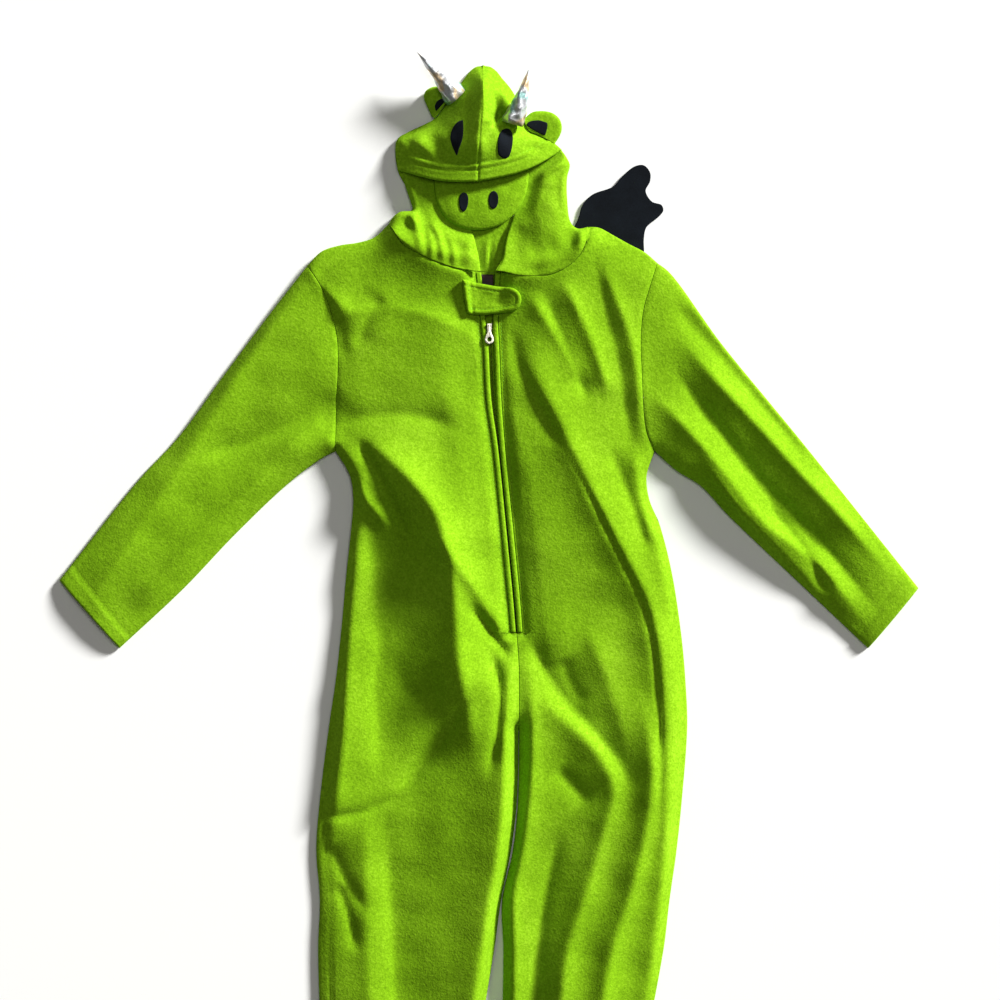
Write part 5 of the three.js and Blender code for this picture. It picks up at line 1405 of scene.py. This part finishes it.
def snout_top(x, y):
    """Snout: a pad that swells from its sewn edge, flatter under the brim."""
    outline = snout_outline()
    edge = nearest(closed_chain(outline), x, y)[0]
    under_brim = 1 - 0.25 * smooth(y, 505, 535)
    swell = 3.2 + 4.0 * (1 - np.exp(-((edge / 13) ** 1.2)))
    dents = fold_height([
        ("nostril_left_dent", 7, -0.8, [(-41, 506), (-41, 486)]),
        ("nostril_right_dent", 7, -0.8, [(-8, 508), (-8, 490)]),
        ("nostril_crease", 1.6, -0.6, [(-41, 484), (-40, 479)]),
    ], x, y)
    uneven = 0.25 * wander(x, y, 21, 31) * smooth(edge, 2, 8)
    return snout_bottom(x, y) + swell * under_brim + dents + uneven - rolled(edge, 2.8)


def build_face():
    """Snout, nostrils and eyes."""
    rings, middle = disc_plan(snout_outline(), np.r_[np.linspace(0.06, 0.9, 22), 0.93, 0.955, 0.975, 0.99, 1])
    snout = disc_wall("snout_padded", rings, middle, snout_top, snout_bottom, finish("fleece"))
    dress(snout, "fleece", "snout")
    for name, points in PATCHES.items():
        surface = snout_top if name.startswith("nostril") else crown_top
        rings, middle = disc_plan(dense_outline(points, step=1.0), [0.15, 0.35, 0.55, 0.72, 0.86, 0.95, 1])
        outline = closed_chain(rings[-1])

        def bottom_at(x, y, surface=surface):
            return surface(x, y) + 0.25

        def top_at(x, y, surface=surface, outline=outline):
            edge = nearest(outline, x, y)[0]
            return bottom_at(x, y, surface) + size("patch") - np.minimum(rolled(edge, 0.8), 0.6)

        patch = disc_wall(f"{name}_felt", rings, middle, top_at, bottom_at, finish("felt"))
        dress(patch, "black_felt", name)
        lay(patch)


# Ears

def ear_root(side):
    """The stretch of the crown's edge that an ear starts from."""
    edge = smooth_line(CROWN_SIDE[side])
    ends = [int(np.argmin(np.hypot(*(edge - point).T))) for point in EAR_ROOT[side]]
    stretch = edge[min(ends):max(ends) + 1]
    stretch = stretch if ends[0] < ends[1] else stretch[::-1]
    return moved_aside(stretch, 0.25 if side == "left" else -0.25)


def ear_top(edge):
    """Height of an ear's upper side, by the distance from its edge."""
    return EAR_UNDERSIDE + EAR_THICKNESS + 0.8 * smooth(edge, 0, 6)


def build_ear(side):
    """An ear: two layers of fleece turned out over a little filling, with a black inner patch."""
    shares = edge_shares(40, 1.2)
    inner = along(ear_root(side), shares)
    outer = along(smooth_line(EAR_OUTER_EDGE[side]), shares)
    across = edge_shares(18, 1.0)
    plan = mix(inner[None], outer[None], across[:, None, None])
    x, y = plan[..., 0], plan[..., 1]
    border = smooth_line(EAR_OUTER_EDGE[side])
    edge = nearest(border, x, y)[0]
    top = ear_top(edge) - rolled(edge, 2.4)
    bottom = EAR_UNDERSIDE + rolled(edge, 2.4) * 0.5
    ear = grid_wall(f"ear_{side}_turned", plan, np.maximum(top, bottom + 0.4), bottom, finish("fleece"))
    dress(ear, "fleece", f"ear_{side}")
    outline = dense_outline(EAR_PATCH[side], step=1.0, soften=2)
    rings, middle = disc_plan(outline, [0.2, 0.45, 0.7, 0.86, 0.95, 1])
    felt_edge = closed_chain(outline)

    def bottom_at(px, py):
        return ear_top(nearest(border, px, py)[0]) + 0.15

    def top_at(px, py):
        return bottom_at(px, py) + size("patch") - np.minimum(rolled(nearest(felt_edge, px, py)[0], 0.8), 0.6)

    patch = disc_wall(f"ear_inner_{side}_felt", rings, middle, top_at, bottom_at, finish("felt"))
    dress(patch, "black_felt", f"ear_inner_{side}")
    lay(patch)


# Horns

def over_crown(points):
    """Height of points over the crown; outside it they are clear."""
    x, y, z = points.T
    gap = z - crown_top(x, y)
    return np.where(inside(crown_outline(), x, y), gap, 99.0)


def build_horn(name):
    """A horn: a cone of foil cloth over stuffing, gathered where it is sewn to the crown."""
    base, tip, bow, radius = (np.array(v, float) for v in HORNS[name])
    sides, rings = 44, 40
    axis = (tip - base) / np.linalg.norm(tip - base)
    across = np.cross(axis, (0, 0, 1))
    across /= np.linalg.norm(across)
    upright = np.cross(across, axis)
    angle = np.arange(sides) * 2 * math.pi / sides
    random = np.random.default_rng(len(name))
    phases = random.uniform(0, 2 * math.pi, 6)
    points = []
    for t in np.linspace(0, 1, rings, endpoint=False):
        middle = mix(base, tip, t) + bow * math.sin(math.pi * t)
        middle = middle + across * 0.8 * math.sin(9 * t + phases[0]) * t
        dents = (0.05 * np.sin(3 * angle + 11 * t + phases[1]) + 0.045 * np.sin(5 * angle - 17 * t + phases[2])
                 + 0.03 * np.sin(2 * angle + 41 * t + phases[3]) + 0.03 * np.sin(9 * angle + phases[4])
                 * np.exp(-((t / 0.18) ** 2)))
        reach = radius * (1 - t) ** 0.95 * (1 + dents)
        ring = np.outer(reach * np.cos(angle), across) + np.outer(reach * np.sin(angle), upright)
        points.append(middle + ring)
    points = np.array(points)
    seat = points[0] + axis * 36
    for _ in range(40):
        down = np.minimum(0.4 * (over_crown(seat) - 0.3), 3.0)
        down = np.clip(down, 0, (seat - points[0]) @ axis + 4)
        seat = seat - axis * down[:, None]
    points[0] = seat
    for k in range(1, rings):
        ahead = (points[k] - seat) @ axis
        short = np.maximum(0, 0.28 * k - ahead)
        points[k] += short[:, None] * axis
        gap = over_crown(points[k])
        points[k][:, 2] += np.maximum(0, 0.3 - gap)
    bottom = points[0].mean(axis=0)
    while over_crown(bottom[None])[0] < 0.3:
        bottom = bottom + axis * 0.3
    vertices = np.vstack([points.reshape(-1, 3), bottom + axis, tip])
    index = np.arange(rings * sides).reshape(rings, sides)
    index = np.concatenate([index, index[:, :1]], axis=1)
    faces = grid_quads(index).tolist()
    faces += [[rings * sides, index[0, j + 1], index[0, j]] for j in range(sides)]
    faces += [[rings * sides + 1, index[-1, j], index[-1, j + 1]] for j in range(sides)]
    horn = link_mesh(f"{name}_stuffed", vertices, faces, finish("lame"))
    dress(horn, "silver_lame", name)


# Wings

def build_wing(side):
    """A wing: felt cut to an outline with lobes, its edge pressed thin."""
    points = smooth_line(WING, closed=True)
    if side == "left":
        offset = (points - WING_ROOT) * (-1, 1)
        cos, sin = math.cos(LEFT_WING_TURN), math.sin(LEFT_WING_TURN)
        points = LEFT_WING_ROOT + offset @ np.array([(cos, sin), (-sin, cos)])
    curve = bpy.data.curves.new(f"wing_{side}_cut", "CURVE")
    curve.dimensions = "2D"
    curve.fill_mode = "BOTH"
    rounding = 0.6
    curve.extrude = (size("felt") / 2 - rounding) * MM
    curve.bevel_depth = rounding * MM
    curve.bevel_resolution = 2
    curve.offset = -rounding * MM
    spline = curve.splines.new("POLY")
    spline.use_cyclic_u = True
    spline.points.add(len(points) - 1)
    for place, (x, y) in zip(spline.points, points * MM):
        place.co = (x, y, 0, 1)
    holder = placed(f"wing_{side}_curve", curve)
    graph = bpy.context.evaluated_depsgraph_get()
    mesh = bpy.data.meshes.new_from_object(holder.evaluated_get(graph))
    bpy.data.objects.remove(holder)
    mesh.transform(Matrix.Translation((0, 0, size("felt") / 2 * MM)))
    wing = placed(f"wing_{side}_felt", mesh)
    weld = wing.modifiers.new("weld", "WELD")
    weld.merge_threshold = 1e-6
    graph = bpy.context.evaluated_depsgraph_get()
    wing.data = bpy.data.meshes.new_from_object(wing.evaluated_get(graph))
    wing.modifiers.clear()
    wing.data.materials.clear()
    wing.data.materials.append(finish("felt"))
    wing["cut"] = cut_of_outline(points)
    dress(wing, "black_felt", f"wing_{side}")
    lay(wing)


# Property groups, operators and panel

class CostumeSizes(PropertyGroup):
    """Sizes of the cloth and the zip."""
    fleece: FloatProperty(name="Fleece", description="Thickness of the fleece", default=0.0025,
                          min=0.001, max=0.004, subtype="DISTANCE", unit="LENGTH")
    felt: FloatProperty(name="Felt", description="Thickness of the wings' felt", default=0.003,
                        min=0.001, max=0.004, subtype="DISTANCE", unit="LENGTH")
    patch: FloatProperty(name="Patch", description="Thickness of the eye and nostril patches", default=0.001,
                         min=0.0005, max=0.002, subtype="DISTANCE", unit="LENGTH")
    seam: FloatProperty(name="Seam gap", description="Gap between pieces at a seam", default=0.0003,
                        min=0.0001, max=0.001, subtype="DISTANCE", unit="LENGTH")
    sewn_gap: FloatProperty(name="Sewn gap", description="Gap between cloth edges that are sewn together",
                            default=0.0001, min=0.00005, max=0.0005, subtype="DISTANCE", unit="LENGTH")
    folds: FloatProperty(name="Folds", description="Height of the folds, 1 for those in the table", default=1.0,
                         min=0.5, max=3)
    welt_width: FloatProperty(name="Welt width", description="Width of the welt beside the zip",
                              default=0.0063, min=0.004, max=0.01, subtype="DISTANCE", unit="LENGTH")


def colour(name, description, value):
    """A colour property with an sRGB hex default."""
    return FloatVectorProperty(name=name, description=description, default=hex_to_linear(value),
                               size=3, min=0, max=1, subtype="COLOR")


class CostumeColours(PropertyGroup):
    """Colours of the cloths, the foil and the metal."""
    fleece: colour("Fleece", "Dye of the fleece", "#81AD18")
    # The next two colours are painted light: a painted highlight on the tips of the pile and painted shade
    # between the tufts. The first one also tints the real sheen.
    fleece_light: colour("Fleece, light", "Tips of the pile that catch the light", "#9BC62F")
    fleece_painted_shade: colour("Fleece, deep", "Between the tufts of the pile", "#68900D")
    felt: colour("Felt", "Black of the wings and patches", "#10151B")
    foil: colour("Foil", "Silver of the horns", "#D9DBDD")
    foil_warm: colour("Foil, warm", "Warm glints of the horns", "#E2C9A0")
    foil_cool: colour("Foil, cool", "Cool glints of the horns", "#A9CFCB")
    metal: colour("Metal", "Plating of slider and pull tab", "#D6D2C0")
    tape: colour("Tape", "Woven zip tape", "#1A2212")
    coil: colour("Coil", "Nylon zip coil", "#1B2414")
    label: colour("Label", "Neck label", "#3C1412")
    thread: colour("Thread", "Sewing thread", "#8FCB2A")
    floor: colour("Floor", "Paper under the suit", "#F4F4F2")


class CostumeStage(PropertyGroup):
    """Camera and light."""
    camera_height: FloatProperty(name="Camera height", description="Camera over the floor", default=3.2,
                                 min=1, max=6, subtype="DISTANCE", unit="LENGTH")
    view_half: FloatProperty(name="Half of the view", description="Half the width of floor in the picture",
                             default=0.567, min=0.2, max=2, subtype="DISTANCE", unit="LENGTH")
    view_centre: FloatProperty(name="Centre of the view", description="Place of the picture's centre along Y",
                               default=0.1588, min=-1, max=1, subtype="DISTANCE", unit="LENGTH")
    key: FloatProperty(name="Key light", description="Strength of the key light", default=7.9, min=0, max=20)
    gamma: FloatProperty(name="Gamma", description="Tone curve of the picture", default=0.86, min=0.5, max=1.5)
    softbox: FloatProperty(name="Softbox", description="Power of the softbox overhead", default=30, min=0,
                           max=200, subtype="POWER", unit="POWER")
    fill: FloatProperty(name="Fill light", description="Strength of the light from all round", default=0.11,
                        min=0, max=5)


class CostumeOperator:
    """What the building operators have in common."""
    bl_options = {"REGISTER", "UNDO"}


# The studio, in metres: a low sun from the upper right and a softbox for the foil's highlights
PAPER_REACH = 4.0
KEY_DIRECTION = (0.88, 0.70, 0.4)
KEY_ANGLE = math.radians(11)
SOFTBOX_PLACE = (0.5, 0.9, 3.6)
SOFTBOX_SIZE = 1.6
SOFTBOX_ON_CLOTH = 0.08
ROOM_COLOUR = (1, 0.96, 0.88, 1)


class COSTUME_OT_stage(CostumeOperator, Operator):
    """Makes the paper floor, the camera over it and the studio light"""
    bl_idname = "costume.stage"
    bl_label = "Stage"

    def execute(self, context):
        stage = context.scene.costume_stage
        corners = [(PAPER_REACH * x, PAPER_REACH * y, 0) for x, y in ((-1, -1), (1, -1), (1, 1), (-1, 1))]
        mesh = bpy.data.meshes.new("floor")
        mesh.from_pydata(corners, [], [(0, 1, 2, 3)])
        mesh.materials.append(finish("paper"))
        placed("floor", mesh)
        camera = placed("camera", bpy.data.cameras.new("camera"))
        camera.location = (0, stage.view_centre, stage.camera_height)
        camera.data.lens = camera.data.sensor_width / 2 * stage.camera_height / stage.view_half
        context.scene.camera = camera
        key = placed("key", bpy.data.lights.new("key", "SUN"))
        key.data.energy = stage.key
        key.data.angle = KEY_ANGLE
        key.rotation_euler = Vector(KEY_DIRECTION).to_track_quat("Z", "Y").to_euler()
        softbox = placed("softbox", bpy.data.lights.new("softbox", "AREA"))
        softbox.data.size = SOFTBOX_SIZE
        softbox.data.energy = stage.softbox
        softbox.data.diffuse_factor = SOFTBOX_ON_CLOTH
        softbox.location = SOFTBOX_PLACE
        world = bpy.data.worlds.new("studio")
        world.use_nodes = True
        background = world.node_tree.nodes["Background"]
        background.inputs["Color"].default_value = ROOM_COLOUR
        background.inputs["Strength"].default_value = stage.fill
        context.scene.world = world
        context.scene.view_settings.view_transform = "Standard"
        context.scene.view_settings.gamma = stage.gamma
        return {"FINISHED"}


class COSTUME_OT_wings(CostumeOperator, Operator):
    """Cuts both felt wings and lays them on the floor"""
    bl_idname = "costume.wings"
    bl_label = "Wings"

    def execute(self, context):
        for side in SIDES:
            build_wing(side)
        return {"FINISHED"}


class COSTUME_OT_back(CostumeOperator, Operator):
    """Lays the back and the back of the hood over the wings"""
    bl_idname = "costume.back"
    bl_label = "Back"

    def execute(self, context):
        build_back()
        build_hood_back()
        return {"FINISHED"}


class COSTUME_OT_fronts(CostumeOperator, Operator):
    """Lays both fronts with their folds over the back"""
    bl_idname = "costume.fronts"
    bl_label = "Fronts"

    def execute(self, context):
        for side in SIDES:
            build_front(side)
        return {"FINISHED"}


class COSTUME_OT_sleeves(CostumeOperator, Operator):
    """Sews the sleeves to the armholes"""
    bl_idname = "costume.sleeves"
    bl_label = "Sleeves"

    def execute(self, context):
        for side in SIDES:
            build_sleeve(side)
        return {"FINISHED"}


class COSTUME_OT_zip(CostumeOperator, Operator):
    """Sets the zip between its welts, with its slider and pull tab"""
    bl_idname = "costume.zip"
    bl_label = "Zip"

    def execute(self, context):
        build_zip()
        return {"FINISHED"}


class COSTUME_OT_neck(CostumeOperator, Operator):
    """Sews on the neck tab and the bare label"""
    bl_idname = "costume.neck"
    bl_label = "Neck tab and label"

    def execute(self, context):
        build_tab()
        return {"FINISHED"}


class COSTUME_OT_hood(CostumeOperator, Operator):
    """Lays the hood's side flaps and its crown, with the sewn brim"""
    bl_idname = "costume.hood"
    bl_label = "Hood"

    def execute(self, context):
        for side in SIDES:
            build_flap(side)
            build_crown(side)
        for number, distance in enumerate(BRIM_SEWING, 1):
            row = stitches(f"brim_stitching_{number}", brim_row(distance), lambda x, y: crown_top(x, y) + 0.1,
                           finish("thread"))
            dress(row, "fleece")
        return {"FINISHED"}


class COSTUME_OT_face(CostumeOperator, Operator):
    """Sews on the snout, the nostrils and the eyes"""
    bl_idname = "costume.face"
    bl_label = "Face"

    def execute(self, context):
        build_face()
        return {"FINISHED"}


class COSTUME_OT_ears(CostumeOperator, Operator):
    """Sews on both ears with their black inner patches"""
    bl_idname = "costume.ears"
    bl_label = "Ears"

    def execute(self, context):
        for side in SIDES:
            build_ear(side)
        return {"FINISHED"}


class COSTUME_OT_horns(CostumeOperator, Operator):
    """Stuffs both foil horns and seats them on the crown"""
    bl_idname = "costume.horns"
    bl_label = "Horns"

    def execute(self, context):
        for name in HORNS:
            build_horn(name)
        return {"FINISHED"}


BUILD_ORDER = ("stage", "wings", "back", "zip", "fronts", "sleeves", "neck", "hood", "face", "ears", "horns")


class COSTUME_PT_panel(Panel):
    """Sizes, colours and steps of the costume"""
    bl_idname = "COSTUME_PT_panel"
    bl_label = "Dragon Costume"
    bl_space_type = "VIEW_3D"
    bl_region_type = "UI"
    bl_category = "Costume"

    def draw(self, context):
        layout = self.layout
        for group in (context.scene.costume_sizes, context.scene.costume_colours, context.scene.costume_stage):
            box = layout.box()
            for name in group.__annotations__:
                box.prop(group, name)
        for name in BUILD_ORDER:
            layout.operator(f"costume.{name}")


CLASSES = (CostumeSizes, CostumeColours, CostumeStage, COSTUME_OT_stage, COSTUME_OT_wings, COSTUME_OT_back,
           COSTUME_OT_fronts, COSTUME_OT_sleeves, COSTUME_OT_zip, COSTUME_OT_neck, COSTUME_OT_hood,
           COSTUME_OT_face, COSTUME_OT_ears, COSTUME_OT_horns, COSTUME_PT_panel)
GROUPS = {"costume_sizes": CostumeSizes, "costume_colours": CostumeColours, "costume_stage": CostumeStage}


def register():
    for cls in CLASSES:
        bpy.utils.register_class(cls)
    for name, group in GROUPS.items():
        setattr(bpy.types.Scene, name, PointerProperty(type=group))


def unregister():
    for name in GROUPS:
        delattr(bpy.types.Scene, name)
    for cls in reversed(CLASSES):
        bpy.utils.unregister_class(cls)


def main():
    """Builds the costume step by step."""
    register()
    for name in BUILD_ORDER:
        getattr(bpy.ops.costume, name)()


if __name__ == "__main__":
    main()
